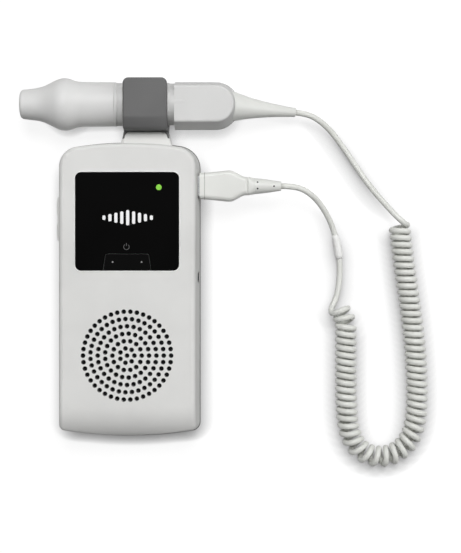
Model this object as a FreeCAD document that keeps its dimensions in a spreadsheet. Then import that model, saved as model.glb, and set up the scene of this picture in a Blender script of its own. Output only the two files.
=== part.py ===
"""Handheld doppler: a pocket unit with a loudspeaker, and a pencil probe in a clip on a curly cord.

Millimetres. The origin is the middle of the unit's back face, +Z points out of the front face,
+Y points to the probe's end and +X to the cord's side.
"""

import FreeCAD, Part
import Sketcher
import math
import os
from FreeCAD import Placement, Rotation, Vector

SIZES = {
    # Case
    "case_width": 68.0,
    "case_length": 142.0,
    "case_depth": 29.0,
    "parting_share": 12.0 / 29.0,
    "wall": 2.0,
    "face_wall": 2.4,
    "front_draft": 6.0,
    "back_draft": 5.0,
    "front_edge_radius": 2.2,
    "back_edge_radius": 3.0,
    "top_corner_radius": 11.0,
    "bottom_corner_radius": 4.2,
    "top_arch_radius": 170.0,
    "bottom_arch_radius": 190.0,
    "slope_length": 15.0,
    "slope_radius": 17.0,
    # Fits
    "slip": 0.2,
    "close_fit": 0.05,
    # Window and power key
    "window_side": 9.3,
    "window_margin": 15.3,
    "window_gap": 40.0,
    "window_corner": 3.0,
    "window_thickness": 1.3,
    "window_recess": 1.4,
    "window_ledge": 3.0,
    "lamp_side": 9.7,
    "lamp_drop": 7.4,
    "lamp_radius": 1.33,
    "key_width": 23.0,
    "key_top_width": 20.6,
    "key_length": 8.2,
    "key_corner": 1.4,
    "key_thickness": 1.2,
    "key_travel": 0.5,
    "key_stem_radius": 2.2,
    # Loudspeaker grille
    "grille_margin": 39.7,
    "grille_rings": 6,
    "ring_pitch": 3.47,
    "holes_per_ring_step": 7,
    "hole_radius": 1.05,
    "speaker_radius": 22.0,
    "speaker_depth": 4.6,
    "speaker_rim": 1.0,
    "speaker_sheet": 0.5,
    "cone_gap": 0.7,
    "cloth_thickness": 0.25,
    "magnet_radius": 11.0,
    "magnet_thickness": 3.0,
    "speaker_ring_wall": 1.4,
    "speaker_ring_depth": 3.0,
    # Main board and what it carries
    "board_side_gap": 5.0,
    "board_ring_gap": 0.7,
    "board_end_gap": 13.0,
    "board_thickness": 1.6,
    "board_share": 20.8 / 29.0,
    "board_corner": 3.0,
    "post_radius": 2.2,
    "post_inset": 2.6,
    "low_post_margin": 3.6,
    "high_post_margin": 23.0,
    "board_screw_radius": 0.9,
    "board_screw_head_radius": 1.9,
    "board_screw_head": 1.5,
    "board_screw_length": 4.0,
    "switch_width": 6.0,
    "switch_height": 3.4,
    "plunger_radius": 1.6,
    "plunger_depth": 1.5,
    "plunger_height": 0.5,
    # Ports and rocker in the side walls
    "port_share": 17.0 / 29.0,
    "socket_margin": 21.3,
    "socket_width": 14.0,
    "socket_depth": 10.0,
    "socket_room": 0.6,
    "port_margin": 0.4,
    "jack_margin": 65.2,
    "jack_bore_radius": 1.8,
    "jack_bore_length": 14.0,
    "jack_nose_radius": 2.8,
    "jack_width": 6.6,
    "jack_length": 14.0,
    "rocker_margin": 37.3,
    "rocker_length": 21.2,
    "rocker_height": 4.4,
    "rocker_stand_out": 0.9,
    "rocker_thickness": 2.6,
    "rocker_lug_width": 5.0,
    "rocker_lug_reach": 5.4,
    "rocker_pin_radius": 0.8,
    "rocker_play": 0.3,
    "bracket_thickness": 1.3,
    "bracket_width": 6.0,
    "volume_switch_spread": 7.0,
    "volume_switch_size": 4.0,
    # Batteries
    "magnet_gap": 0.95,
    "cell_length": 50.3,
    "cell_nub_radius": 2.75,
    "cell_nub": 1.4,
    "cell_gap": 0.6,
    "cell_floor": 3.6,
    "cells_margin": 4.4,
    "spring_wire_radius": 0.3,
    "spring_radius": 2.6,
    "spring_tip_radius": 1.7,
    "spring_turns": 2,
    "spring_room": 3.2,
    "contact_thickness": 0.4,
    "contact_width": 26.0,
    "contact_height": 11.0,
    "bulkhead_wall": 1.5,
    "bulkhead_height": 14.0,
    # Battery door
    "door_beyond": 5.1,
    "door_flange": 1.4,
    "door_flange_thickness": 1.0,
    "door_flange_start": 8.6,
    "door_flange_short": 2.9,
    "door_clearance": 0.3,
    "door_grip_width": 16.0,
    "door_grip_step": 2.4,
    "door_grip_lines": 4,
    "door_grip_radius": 0.6,
    "door_grip_margin": 9.0,
    # Case screws
    "screw_side": 7.4,
    "screw_top_margin": 9.4,
    "screw_low_margin": 11.0,
    "screw_radius": 1.2,
    "screw_head_radius": 2.3,
    "screw_head": 1.8,
    "screw_length": 15.0,
    "screw_seat_depth": 5.0,
    "boss_radius": 3.2,
    # Neck and probe clip
    "clip_x": 8.3,
    "neck_width": 25.5,
    "neck_end_width": 21.0,
    "neck_rise": 8.0,
    "neck_edge": 1.6,
    "neck_bottom": 2.5,
    "neck_root": 2.6,
    "neck_corner": 2.0,
    "clip_width": 21.0,
    "clip_wall": 3.4,
    "clip_web": 2.8,
    "clip_reach": 11.0,
    "clip_clearance": 0.35,
    "clip_slope_run": 6.0,
    "clip_slope_fall": 7.0,
    "clip_edge_radius": 0.8,
    "clip_tip_radius": 2.7,
    "tongue_width": 8.0,
    "tongue_thickness": 4.4,
    "tongue_length": 5.4,
    "clip_screw_radius": 1.1,
    "clip_screw_head_radius": 2.1,
    "clip_screw_head": 1.2,
    # Probe
    "probe_gap": 18.4,
    "probe_z": 15.0,
    "grip_radius": 10.25,
    "nose_tip": -52.6,
    "nose_end": -6.5,
    "nose_end_radius": 10.6,
    "tip_face_radius": 5.4,
    "tip_radius": 7.1,
    "waist_x": -45.8,
    "waist_radius": 7.7,
    "bulge_x": -31.0,
    "bulge_radius": 12.6,
    "bulge_end": -22.8,
    "bulge_end_radius": 10.8,
    "groove_start": 19.3,
    "groove_end": 22.0,
    "groove_depth": 0.2,
    "housing_end": 53.0,
    "housing_drop": 0.8,
    "housing_half_width": 11.4,
    "housing_half_height": 10.0,
    "housing_corner": 11.2,
    "housing_draft": 15.0,
    "housing_edge": 1.2,
    "probe_wall": 2.0,
    "lens_radius": 5.0,
    "lens_thickness": 2.0,
    "crystal_thickness": 0.6,
    "crystal_gap": 0.4,
    "backing_length": 6.0,
    "lead_bore_radius": 3.0,
    "probe_board_start": -3.0,
    "probe_board_length": 46.0,
    "probe_board_thickness": 1.2,
    "boot_x": 48.6,
    "boot_drop": 0.8,
    "boot_base_radius": 7.8,
    "boot_waist_radius": 3.8,
    "boot_end_radius": 2.2,
    # Plug
    "plug_collar": 2.4,
    "plug_collar_width": 12.6,
    "plug_width": 15.2,
    "plug_body_length": 15.3,
    "plug_taper_length": 6.0,
    "plug_neck_length": 2.6,
    "plug_neck_width": 8.6,
    "plug_shoulder": 6.0,
    "plug_thickness": 8.0,
    "plug_edge": 2.0,
    "tongue_shell_width": 9.6,
    "tongue_shell_height": 4.0,
    "tongue_shell_length": 8.6,
    "tongue_shell_wall": 0.5,
    "plug_pins": 5,
    "pin_width": 0.9,
    "pin_pitch": 1.7,
    "socket_pin_length": 5.2,
    "plug_pin_length": 6.9,
    "plug_boot_radius": 4.0,
    "plug_boot_waist_radius": 3.9,
    "plug_boot_end_radius": 2.2,
    # Cord
    "cord_radius": 1.41,
    "curl_radius": 3.95,
    "curl_pitch": 3.39,
    "bend_reading": 4.0,
    "floor_gap": 0.1,
    "curl_start_angle": 45.0,
    "curl_end_angle": 90.0,
    "sleeve_wall": 0.45,
}

# Routes, as points on the cord's middle line: across from the unit's middle, along from its top end,
# and up from the surface that it lies on
PROBE_LEAD = [
    (80.55, 15.31, 9.03),
    (86.45, 14.75, 8.07),
    (92.3, 12.1, 6.0),
    (97.9, 7.5, 3.8),
    (102.9, 1.3, 2.3),
    (107.5, -5.1, 1.8),
    (111.9, -11.8, 2.0),
    (116.3, -18.3, 2.8),
    (120.6, -24.1, 4.4),
    (124.4, -28.8, 6.4),
    (127.2, -32.2, 8.0),
    (129.7, -35.7, 8.8),
]
COIL_AXIS = [
    (132.2, -41.4),
    (134.0, -57.3),
    (137.2, -78.0),
    (139.8, -99.6),
    (140.7, -117.0),
    (140.6, -131.0),
    (138.4, -143.5),
    (131.4, -151.6),
    (121.4, -154.2),
    (111.8, -150.4),
    (106.8, -140.6),
    (105.6, -125.2),
    (105.7, -108.4),
    (105.6, -98.0),
    (104.8, -87.6),
    (101.9, -80.8),
]
PLUG_LEAD = [
    (101.3, -76.6, 1.6),
    (102.2, -72.0, 1.6),
    (102.9, -66.2, 1.6),
    (103.1, -59.6, 1.65),
    (102.4, -52.8, 1.8),
    (101.0, -46.0, 2.3),
    (98.8, -39.2, 3.9),
    (95.4, -32.9, 6.9),
    (91.0, -27.4, 10.8),
    (85.6, -23.3, 14.6),
]
# The plug lead's last points, at the height of the ports
PLUG_ENTRY = [
    (79.4, -21.3),
    (73.3, -21.3),
]
SLEEVE_RUN = 4


class Size:
    """A length or angle worked out from the sheet: its value now and the expression that gives it."""

    def __init__(self, value, text):
        self.value = value
        self.text = text

    def __float__(self):
        return self.value

    def __neg__(self):
        return Size(-self.value, f"(-1 * {self.text})")

    def __add__(self, other):
        return Size(self.value + float(other), f"({self.text} + {words(other)})")

    def __radd__(self, other):
        return self + other

    def __sub__(self, other):
        return Size(self.value - float(other), f"({self.text} - {words(other)})")

    def __rsub__(self, other):
        return -self + other

    def __mul__(self, other):
        return Size(self.value * float(other), f"({self.text} * {words(other)})")

    def __rmul__(self, other):
        return self * other

    def __truediv__(self, other):
        return Size(self.value / float(other), f"({self.text} / {words(other)})")


def words(amount):
    """The expression of a Size, or a plain number as text."""
    if isinstance(amount, Size):
        return amount.text
    return f"({amount})"


class Sheet:
    """The driving dimensions, read as attributes that carry their expressions."""

    def __init__(self, document, sizes):
        self.cells = document.addObject("Spreadsheet::Sheet", "sizes")
        for row, (alias, value) in enumerate(sizes.items(), start=1):
            self.cells.set(f"A{row}", alias)
            self.cells.set(f"B{row}", str(value))
            self.cells.setAlias(f"B{row}", alias)
        document.recompute()

    def __getattr__(self, alias):
        return Size(float(self.cells.get(alias)), f"sizes.{alias}")


os.makedirs("parts", exist_ok=True)
doc = FreeCAD.newDocument("handheld_doppler")
dim = Sheet(doc, SIZES)
nodes = []


def bind(item, **amounts):
    """Tie properties of a document object to the sheet; plain numbers are set as they are."""
    for path, amount in amounts.items():
        path = path.replace("__", ".")
        if isinstance(amount, Size):
            item.setExpression(path, amount.text)
        else:
            setattr(item, path, amount)


def place(item, x=0.0, y=0.0, z=0.0, turn=Rotation()):
    """Put an object at a point given by sizes, turned by a fixed rotation."""
    item.Placement = Placement(Vector(float(x), float(y), float(z)), turn)
    for axis, amount in (("x", x), ("y", y), ("z", z)):
        if isinstance(amount, Size):
            item.setExpression(f"Placement.Base.{axis}", amount.text)
    return item


def keep(item, label):
    """Mark an object as a finished piece under its node's name."""
    item.Label = label
    nodes.append(item)
    return item


TO_PLUS_X = Rotation(Vector(0, 1, 0), 90)
TO_PLUS_Y = Rotation(Vector(1, 0, 0), -90)


def box(name, x_size, y_size, z_size, x, y, z):
    """A block whose lowest corner is at x, y, z."""
    block = doc.addObject("Part::Box", name)
    bind(block, Length=x_size, Width=y_size, Height=z_size)
    return place(block, x, y, z)


def middle_box(name, x_size, y_size, z_size, x, y, z):
    """A block centred on x and y, standing on z."""
    return box(name, x_size, y_size, z_size, x - x_size / 2, y - y_size / 2, z)


def rod(name, radius, length, x, y, z, turn=Rotation()):
    """A round bar from x, y, z along its turned Z axis."""
    bar = doc.addObject("Part::Cylinder", name)
    bind(bar, Radius=radius, Height=length)
    return place(bar, x, y, z, turn)


def cut(name, base, *tools):
    """The base less the tools."""
    tool = tools[0] if len(tools) == 1 else fuse(f"{name}_tools", *tools)
    result = doc.addObject("Part::Cut", name)
    result.Base = base
    result.Tool = tool
    return result


def fuse(name, *shapes):
    """Several shapes made one solid."""
    result = doc.addObject("Part::MultiFuse", name)
    result.Shapes = list(shapes)
    return result


def group(name, *shapes):
    """Several separate solids in one node."""
    result = doc.addObject("Part::Compound", name)
    result.Links = list(shapes)
    return result


def common(name, first, second):
    """What two shapes share."""
    result = doc.addObject("Part::MultiCommon", name)
    result.Shapes = [first, second]
    return result


def new_body(name):
    """An empty body for sketched features."""
    return doc.addObject("PartDesign::Body", name)


def new_sketch(body, name, plane, height=0.0):
    """A sketch on one of its body's origin planes, lifted along the plane's normal."""
    sketch = body.newObject("Sketcher::SketchObject", name)
    support = next(item for item in body.Origin.OriginFeatures if item.Role == plane)
    sketch.AttachmentSupport = [(support, "")]
    sketch.MapMode = "FlatFace"
    sketch.AttachmentOffset = Placement(Vector(0, 0, float(height)), Rotation())
    if isinstance(height, Size):
        sketch.setExpression("AttachmentOffset.Base.z", height.text)
    return sketch


def hold(sketch, kind, *where, amount):
    """A dimension in a sketch, tied to the sheet."""
    index = sketch.addConstraint(Sketcher.Constraint(kind, *where, float(amount)))
    if isinstance(amount, Size):
        sketch.setExpression(f"Constraints[{index}]", amount.text)


def hold_point(sketch, item, end, x, y):
    """Dimension a point of a sketch from the sketch's origin."""
    hold(sketch, "DistanceX", -1, 1, item, end, amount=x)
    hold(sketch, "DistanceY", -1, 1, item, end, amount=y)


def polygon(sketch, corners):
    """A closed outline of straight lines with every corner dimensioned."""
    points = [Vector(float(x), float(y), 0) for x, y in corners]
    count = len(points)
    first = sketch.GeometryCount
    for index in range(count):
        sketch.addGeometry(Part.LineSegment(points[index], points[(index + 1) % count]), False)
    for index in range(count):
        following = (index + 1) % count
        sketch.addConstraint(Sketcher.Constraint("Coincident", first + index, 2, first + following, 1))
    for index, (x, y) in enumerate(corners):
        hold_point(sketch, first + index, 1, x, y)


def rectangle(sketch, width, length, x=0.0, y=0.0):
    """A rectangle centred on x, y."""
    right = x + width / 2
    left = x - width / 2
    top = y + length / 2
    low = y - length / 2
    polygon(sketch, [(left, low), (right, low), (right, top), (left, top)])


def pad(body, sketch, length, draft=0.0, downward=False):
    """Raise a sketch along its normal, drawn in by the draft angle."""
    feature = body.newObject("PartDesign::Pad", f"{sketch.Name}_pad")
    feature.Profile = sketch
    feature.Reversed = downward
    bind(feature, Length=length)
    if isinstance(draft, Size):
        bind(feature, TaperAngle=-draft)
    return feature


def pocket_through(body, sketch):
    """Cut a sketch's outline right through the body both ways."""
    feature = body.newObject("PartDesign::Pocket", f"{sketch.Name}_pocket")
    feature.Profile = sketch
    feature.Type = "ThroughAll"
    feature.Midplane = True
    return feature


def revolve(body, sketch):
    """Turn a sketch once round its own vertical axis."""
    feature = body.newObject("PartDesign::Revolution", f"{sketch.Name}_turned")
    feature.Profile = sketch
    feature.ReferenceAxis = (sketch, ["V_Axis"])
    feature.Angle = 360.0
    return feature


def round_edges(body, base, radius, chosen):
    """Round the edges of the last feature that the test picks."""
    doc.recompute()
    names = [f"Edge{n}" for n, edge in enumerate(base.Shape.Edges, start=1) if chosen(edge)]
    feature = body.newObject("PartDesign::Fillet", f"{base.Name}_edges")
    feature.Base = (base, names)
    bind(feature, Radius=radius)
    return feature


def plate(name, width, length, thickness, corner, x, y, z):
    """A flat plate with rounded corners, centred on x and y and standing on z."""
    body = new_body(name)
    sketch = new_sketch(body, f"{name}_outline", "XY_Plane")
    rectangle(sketch, width, length)
    raised = pad(body, sketch, thickness)
    round_edges(body, raised, corner, stands_up)
    return place(body, x, y, z)


def stands_up(edge):
    """True for an edge that runs along Z."""
    start, end = edge.Vertexes[0].Point, edge.Vertexes[-1].Point
    return abs(start.x - end.x) < 1e-6 and abs(start.y - end.y) < 1e-6


def at_least(amount, floor):
    """A size that never falls below a small floor."""
    return Size(max(float(amount), floor), f"max({amount.text}; {floor})")


# Case shells

top_end = dim.case_length / 2
low_end = -dim.case_length / 2
parting_height = dim.case_depth * dim.parting_share
port_height = dim.case_depth * dim.port_share


def end_arc(half, end, arch, corner, upward):
    """Middle and half angle of one end's arch, and the middle of its right corner."""
    side = 1 if upward else -1
    arch_y = side * (float(end) - float(arch))
    across = float(half) - float(corner)
    along = math.sqrt((float(arch) - float(corner)) ** 2 - across**2)
    return arch_y, Vector(across, arch_y + side * along, 0), math.atan2(along, across)


def case_outline(sketch, inset):
    """The unit's plan: straight sides and an arched end at the top and bottom, drawn in by an inset."""
    half = dim.case_width / 2 - inset
    end = dim.case_length / 2 - inset
    top_arch = dim.top_arch_radius - inset
    low_arch = dim.bottom_arch_radius - inset
    top_corner = at_least(dim.top_corner_radius - inset, 0.5)
    low_corner = at_least(dim.bottom_corner_radius - inset, 0.5)
    top_y, top_middle, top_angle = end_arc(half, end, top_arch, top_corner, True)
    low_y, low_middle, low_angle = end_arc(half, end, low_arch, low_corner, False)
    turn = math.pi

    def arc(x, y, radius, start, stop):
        around = Part.Circle(Vector(x, y, 0), Vector(0, 0, 1), float(radius))
        sketch.addGeometry(Part.ArcOfCircle(around, start, stop), False)

    def side(x, start_y, stop_y):
        sketch.addGeometry(Part.LineSegment(Vector(x, start_y, 0), Vector(x, stop_y, 0)), False)

    side(float(half), low_middle.y, top_middle.y)
    arc(top_middle.x, top_middle.y, top_corner, 0, top_angle)
    arc(0, top_y, top_arch, top_angle, turn - top_angle)
    arc(-top_middle.x, top_middle.y, top_corner, turn - top_angle, turn)
    side(-float(half), top_middle.y, low_middle.y)
    arc(-low_middle.x, low_middle.y, low_corner, turn, turn + low_angle)
    arc(0, low_y, low_arch, turn + low_angle, 2 * turn - low_angle)
    arc(low_middle.x, low_middle.y, low_corner, 2 * turn - low_angle, 2 * turn)
    for index in range(8):
        sketch.addConstraint(Sketcher.Constraint("Tangent", index, 2, (index + 1) % 8, 1))
    for index in (0, 4):
        sketch.addConstraint(Sketcher.Constraint("Vertical", index))
    hold(sketch, "DistanceX", -1, 1, 0, 1, amount=half)
    hold(sketch, "DistanceX", -1, 1, 4, 1, amount=-half)
    for index, radius in ((1, top_corner), (3, top_corner), (5, low_corner), (7, low_corner)):
        hold(sketch, "Radius", index, amount=radius)
    hold(sketch, "Radius", 2, amount=top_arch)
    hold(sketch, "Radius", 6, amount=low_arch)
    hold_point(sketch, 2, 3, 0.0, end - top_arch)
    hold_point(sketch, 6, 3, 0.0, low_arch - end)


def slope_profile(sketch, inset):
    """What the rounded slope at the bottom of the front face takes away, seen from the side."""
    start = dim.slope_length - dim.case_length / 2
    middle = dim.case_depth - dim.slope_radius
    radius = dim.slope_radius - inset
    far = -dim.case_length
    top = dim.case_depth * 2
    around = Part.Circle(Vector(float(start), float(middle), 0), Vector(0, 0, 1), float(radius))
    sketch.addGeometry(Part.ArcOfCircle(around, math.pi / 2, math.pi), False)
    corners = [
        (start - radius, middle),
        (far, middle),
        (far, top),
        (start, top),
        (start, middle + radius),
    ]
    points = [Vector(float(x), float(y), 0) for x, y in corners]
    for first, second in zip(points, points[1:]):
        sketch.addGeometry(Part.LineSegment(first, second), False)
    for index in range(5):
        sketch.addConstraint(Sketcher.Constraint("Coincident", index, 2, (index + 1) % 5, 1))
    hold(sketch, "Radius", 0, amount=radius)
    hold_point(sketch, 0, 3, start, middle)
    for index, (x, y) in enumerate(corners[1:4], start=2):
        hold_point(sketch, index, 1, x, y)
    hold(sketch, "DistanceX", -1, 1, 0, 1, amount=start)
    hold(sketch, "DistanceY", -1, 1, 0, 2, amount=middle)


def on_front(point):
    """True for a point on the unit's front face or on its slope."""
    if abs(point.z - float(dim.case_depth)) < 1e-4:
        return True
    start = float(dim.slope_length - dim.case_length / 2)
    middle = float(dim.case_depth - dim.slope_radius)
    reach = math.hypot(point.y - start, point.z - middle)
    return point.y < start and abs(reach - float(dim.slope_radius)) < 1e-4


def front_edge(edge):
    """True for an edge round the front face and slope, but not the line where the slope starts."""
    samples = edge.discretize(5)
    start = float(dim.slope_length - dim.case_length / 2)
    slope_start = all(abs(p.y - start) < 1e-4 for p in samples)
    return all(on_front(p) for p in samples) and not slope_start


def back_edge(edge):
    """True for an edge on the back face."""
    return all(abs(p.z) < 1e-6 for p in edge.discretize(3))


def case_half(name, upward, inset, face_inset):
    """One half of the case as a closed form: its outside, or its inside when it is drawn in."""
    body = new_body(name)
    outline = new_sketch(body, f"{name}_outline", "XY_Plane", parting_height)
    case_outline(outline, inset)
    if upward:
        height = dim.case_depth - parting_height - face_inset
        pad(body, outline, height, dim.front_draft)
        slope = new_sketch(body, f"{name}_slope", "YZ_Plane")
        slope_profile(slope, face_inset)
        return body, pocket_through(body, slope)
    raised = pad(body, outline, parting_height - face_inset, dim.back_draft, downward=True)
    return body, raised


def drawn_in(height, draft):
    """How far a drafted wall leans in over a height."""
    lean = float(height) * math.tan(math.radians(float(draft)))
    return Size(lean, f"({height.text} * tan({draft.text} * 1 deg))")


inner_face = dim.case_depth - dim.face_wall
board_underside = dim.case_depth * dim.board_share
board_face = board_underside + dim.board_thickness
side_x = dim.case_width / 2 - drawn_in(port_height - parting_height, dim.front_draft)
inner_side_x = side_x - dim.wall
grille_y = low_end + dim.grille_margin
window_width = dim.case_width - dim.window_side * 2
window_bottom = grille_y + dim.window_gap
window_top = top_end - dim.window_margin
window_length = window_top - window_bottom
window_y = (window_top + window_bottom) / 2
window_seat = dim.case_depth - dim.window_recess
key_y = window_bottom + dim.key_length / 2
lamp_x = window_width / 2 - dim.lamp_side
lamp_y = window_top - dim.lamp_drop
ring_inside = dim.speaker_radius + dim.slip
ring_outside = ring_inside + dim.speaker_ring_wall
board_width = dim.case_width - (dim.wall + dim.board_side_gap) * 2
board_bottom = grille_y + ring_outside + dim.board_ring_gap
board_top = top_end - dim.board_end_gap
socket_y = top_end - dim.socket_margin
jack_y = top_end - dim.jack_margin
rocker_y = top_end - dim.rocker_margin
screw_x = dim.case_width / 2 - dim.screw_side
probe_y = top_end + dim.probe_gap
housing_y = probe_y - dim.housing_drop
rocker_pin_x = dim.rocker_lug_reach - dim.rocker_stand_out - side_x - dim.rocker_pin_radius * 2

# How far fittings run into the wall that carries them, and cutting shapes past the face that they cut
face_bite = dim.face_wall / 3
wall_bite = dim.wall / 2
OVER = 1.0
REACH = 5.0


def four_corners(x, low_y, high_y):
    """The four places of a set of screws or posts."""
    return [(x, low_y), (-x, low_y), (x, high_y), (-x, high_y)]


def key_corners(grow):
    """The power key's outline: a tab that narrows away from the window's edge."""
    low = window_bottom - grow
    high = window_bottom + dim.key_length + grow
    wide = dim.key_width / 2 + grow
    narrow = dim.key_top_width / 2 + grow
    return [(-wide, low), (wide, low), (narrow, high), (-narrow, high)]


def key_tab(name, grow, thickness, z):
    """A plate in the power key's outline."""
    body = new_body(name)
    sketch = new_sketch(body, f"{name}_outline", "XY_Plane")
    polygon(sketch, key_corners(grow))
    raised = pad(body, sketch, thickness)
    round_edges(body, raised, dim.key_corner + grow,
                lambda edge: stands_up(edge) and edge.Vertexes[0].Y > float(key_y))
    return place(body, 0.0, 0.0, z)


def grille_holes():
    """The rings of round holes over the loudspeaker: one in the middle, then more in every ring."""
    depth = float(dim.face_wall) + 2 * REACH
    pitch = float(dim.ring_pitch)
    places = [Vector(0, 0, 0)]
    for ring in range(1, int(float(dim.grille_rings)) + 1):
        count = ring * int(float(dim.holes_per_ring_step))
        for hole in range(count):
            angle = 2 * math.pi * hole / count
            places.append(Vector(ring * pitch * math.cos(angle), ring * pitch * math.sin(angle), 0))
    middle = Vector(0, float(grille_y), float(inner_face) - REACH)
    radius = float(dim.hole_radius)
    holes = doc.addObject("Part::Feature", "grille_holes")
    holes.Shape = Part.makeCompound([Part.makeCylinder(radius, depth, middle + spot) for spot in places])
    return holes


def rocker_brackets():
    """Two lugs on the left wall that carry the rocker's pin, above and below the rocker."""
    length = dim.rocker_lug_reach - dim.rocker_stand_out - wall_bite
    middle = wall_bite - side_x + length / 2
    gap = dim.rocker_height / 2 + dim.slip
    brackets = []
    for z in (port_height - gap - dim.bracket_thickness, port_height + gap):
        brackets.append(middle_box("bracket", length, dim.bracket_width, dim.bracket_thickness,
                                   middle, rocker_y, z))
    return brackets


def case_screw_spots():
    """Where the four screws hold the case together."""
    return four_corners(screw_x, low_end + dim.screw_low_margin, top_end - dim.screw_top_margin)


def board_spots():
    """Where the four posts carry the board."""
    x = board_width / 2 - dim.post_inset
    return four_corners(x, board_bottom + dim.low_post_margin, board_top - dim.high_post_margin)


def speaker_ring():
    """The wall inside the front face that the loudspeaker sits in."""
    z = inner_face - dim.speaker_ring_depth
    height = dim.speaker_ring_depth + face_bite
    return cut("speaker_ring",
               rod("ring_outside", ring_outside, height, 0.0, grille_y, z),
               rod("ring_inside", ring_inside, height, 0.0, grille_y, z))


def front_inside():
    """Everything that stands up inside the front half."""
    boss_height = inner_face - parting_height + face_bite
    post_height = inner_face - board_face + face_bite
    pieces = [rod("boss", dim.boss_radius, boss_height, x, y, parting_height)
              for x, y in case_screw_spots()]
    pieces += [rod("post", dim.post_radius, post_height, x, y, board_face) for x, y in board_spots()]
    pieces.append(speaker_ring())
    return pieces + rocker_brackets()


def front_face_cuts():
    """The window's seat and opening, the key's well and the grille."""
    deep = dim.face_wall + REACH
    under = inner_face - OVER
    return [
        plate("window_seat", window_width + dim.slip, window_length + dim.slip,
              dim.window_recess + REACH, dim.window_corner, 0.0, window_y, window_seat),
        middle_box("window_opening", window_width - dim.window_ledge * 2,
                   window_length - dim.window_ledge * 2, deep, 0.0, window_y, under),
        key_tab("key_well", dim.slip, deep, under),
        grille_holes(),
    ]


def side_cuts():
    """The rocker's slot and pin hole in the left wall, and the socket's and jack's holes in the right."""
    across = dim.wall * 3
    pin_hole = dim.rocker_height * 3
    return [
        middle_box("rocker_slot", across, dim.rocker_length + dim.rocker_play * 2,
                   dim.rocker_height + dim.slip * 2, -side_x, rocker_y,
                   port_height - dim.rocker_height / 2 - dim.slip),
        rod("rocker_pin_hole", dim.rocker_pin_radius + dim.close_fit, pin_hole,
            rocker_pin_x, rocker_y, port_height - pin_hole / 2),
        middle_box("socket_opening", across, dim.tongue_shell_width + dim.port_margin * 2,
                   dim.tongue_shell_height + dim.port_margin * 2, side_x, socket_y,
                   port_height - dim.tongue_shell_height / 2 - dim.port_margin),
        rod("jack_hole", dim.jack_nose_radius + dim.slip, across, side_x - across / 2, jack_y,
            port_height, TO_PLUS_X),
    ]


def front_screw_bores():
    """Bores for the case screws and the board screws."""
    case_depth = dim.screw_seat_depth + dim.screw_length - parting_height + OVER * 2
    board_depth = dim.board_screw_length + dim.slip
    bores = [rod("boss_bore", dim.screw_radius + dim.close_fit, case_depth, x, y, parting_height - OVER)
             for x, y in case_screw_spots()]
    bores += [rod("post_bore", dim.board_screw_radius + dim.close_fit, board_depth, x, y, board_underside)
              for x, y in board_spots()]
    return bores


clip_bore = dim.grip_radius + dim.clip_clearance
clip_back = probe_y - clip_bore - dim.clip_web
neck_end = clip_back - dim.slip


def neck(name, height, z, softened):
    """Half of the tab at the top end that carries the probe clip; the front half's top edges are softened."""
    body = new_body(name)
    sketch = new_sketch(body, f"{name}_outline", "XY_Plane")
    low = top_end - dim.neck_root
    wide = dim.neck_width / 2
    narrow = dim.neck_end_width / 2
    polygon(sketch, [(dim.clip_x - wide, low), (dim.clip_x + wide, low),
                     (dim.clip_x + narrow, neck_end), (dim.clip_x - narrow, neck_end)])
    raised = pad(body, sketch, height)

    def at_end(point):
        return abs(point.y - float(neck_end)) < 1e-4

    def top_edge(edge):
        ends = [vertex.Point for vertex in edge.Vertexes]
        at_top = all(abs(point.z - float(height)) < 1e-4 for point in ends)
        return at_top and any(point.y > float(top_end) for point in ends)

    rounded = round_edges(body, raised, dim.neck_corner,
                          lambda edge: stands_up(edge) and at_end(edge.Vertexes[0].Point))
    if softened:
        round_edges(body, rounded, dim.neck_edge, top_edge)
    return place(body, 0.0, 0.0, z)


def front_shell():
    """The drafted front half: window recess, grille, ports in its sides, half the neck, and posts inside."""
    form, last = case_half("front_form", True, 0.0, 0.0)
    round_edges(form, last, dim.front_edge_radius, front_edge)
    room, _ = case_half("front_room", True, dim.wall, dim.face_wall)
    hollow = cut("front_hollow", form, room)

    fittings = common("front_fittings", fuse("front_inside", *front_inside()), form)
    solid = fuse("front_solid", hollow, fittings, neck("front_neck", dim.neck_rise, parting_height, True))
    tools = front_face_cuts() + side_cuts() + front_screw_bores()
    keep(cut("front_shell", solid, *tools), "front_shell")


tongue_y = neck_end - dim.tongue_length
tongue_z = (dim.neck_bottom + parting_height) / 2
cells_bottom = low_end + dim.cells_margin
cells_top = cells_bottom + dim.spring_room + dim.cell_length
door_width = (screw_x - dim.boss_radius - dim.door_flange) * 2
door_top = cells_top + dim.door_beyond
flange_bottom = cells_bottom + dim.door_flange_start
flange_top = cells_top - dim.door_flange_short
flange_z = dim.wall + dim.slip
clip_screw_y = (top_end + neck_end) / 2


def door_cuts():
    """The battery door's opening in the back wall and the slot that its flanges slide in."""
    low = -dim.case_length
    wide = door_width / 2 + dim.door_flange + dim.door_clearance
    slot_top = flange_top + dim.door_clearance
    return [
        box("door_opening", door_width, door_top - low, dim.wall + dim.slip + OVER,
            -door_width / 2, low, -OVER),
        box("flange_slot", wide * 2, slot_top - low, dim.door_flange_thickness + dim.slip * 2,
            -wide, low, dim.wall),
    ]


def neck_cuts():
    """The pocket for the clip's tongue and the screw hole under it."""
    z = tongue_z - dim.tongue_thickness / 2 - dim.slip
    return [
        middle_box("tongue_pocket", dim.tongue_width + dim.slip * 2, dim.tongue_length * 2,
                   dim.tongue_thickness + dim.slip * 2, dim.clip_x, neck_end - dim.slip, z),
        rod("clip_screw_hole", dim.clip_screw_radius + dim.slip, parting_height / 2,
            dim.clip_x, clip_screw_y, 0.0),
        rod("clip_screw_seat", dim.clip_screw_head_radius + dim.slip, dim.clip_screw_head + OVER,
            dim.clip_x, clip_screw_y, dim.neck_bottom - OVER),
    ]


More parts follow.
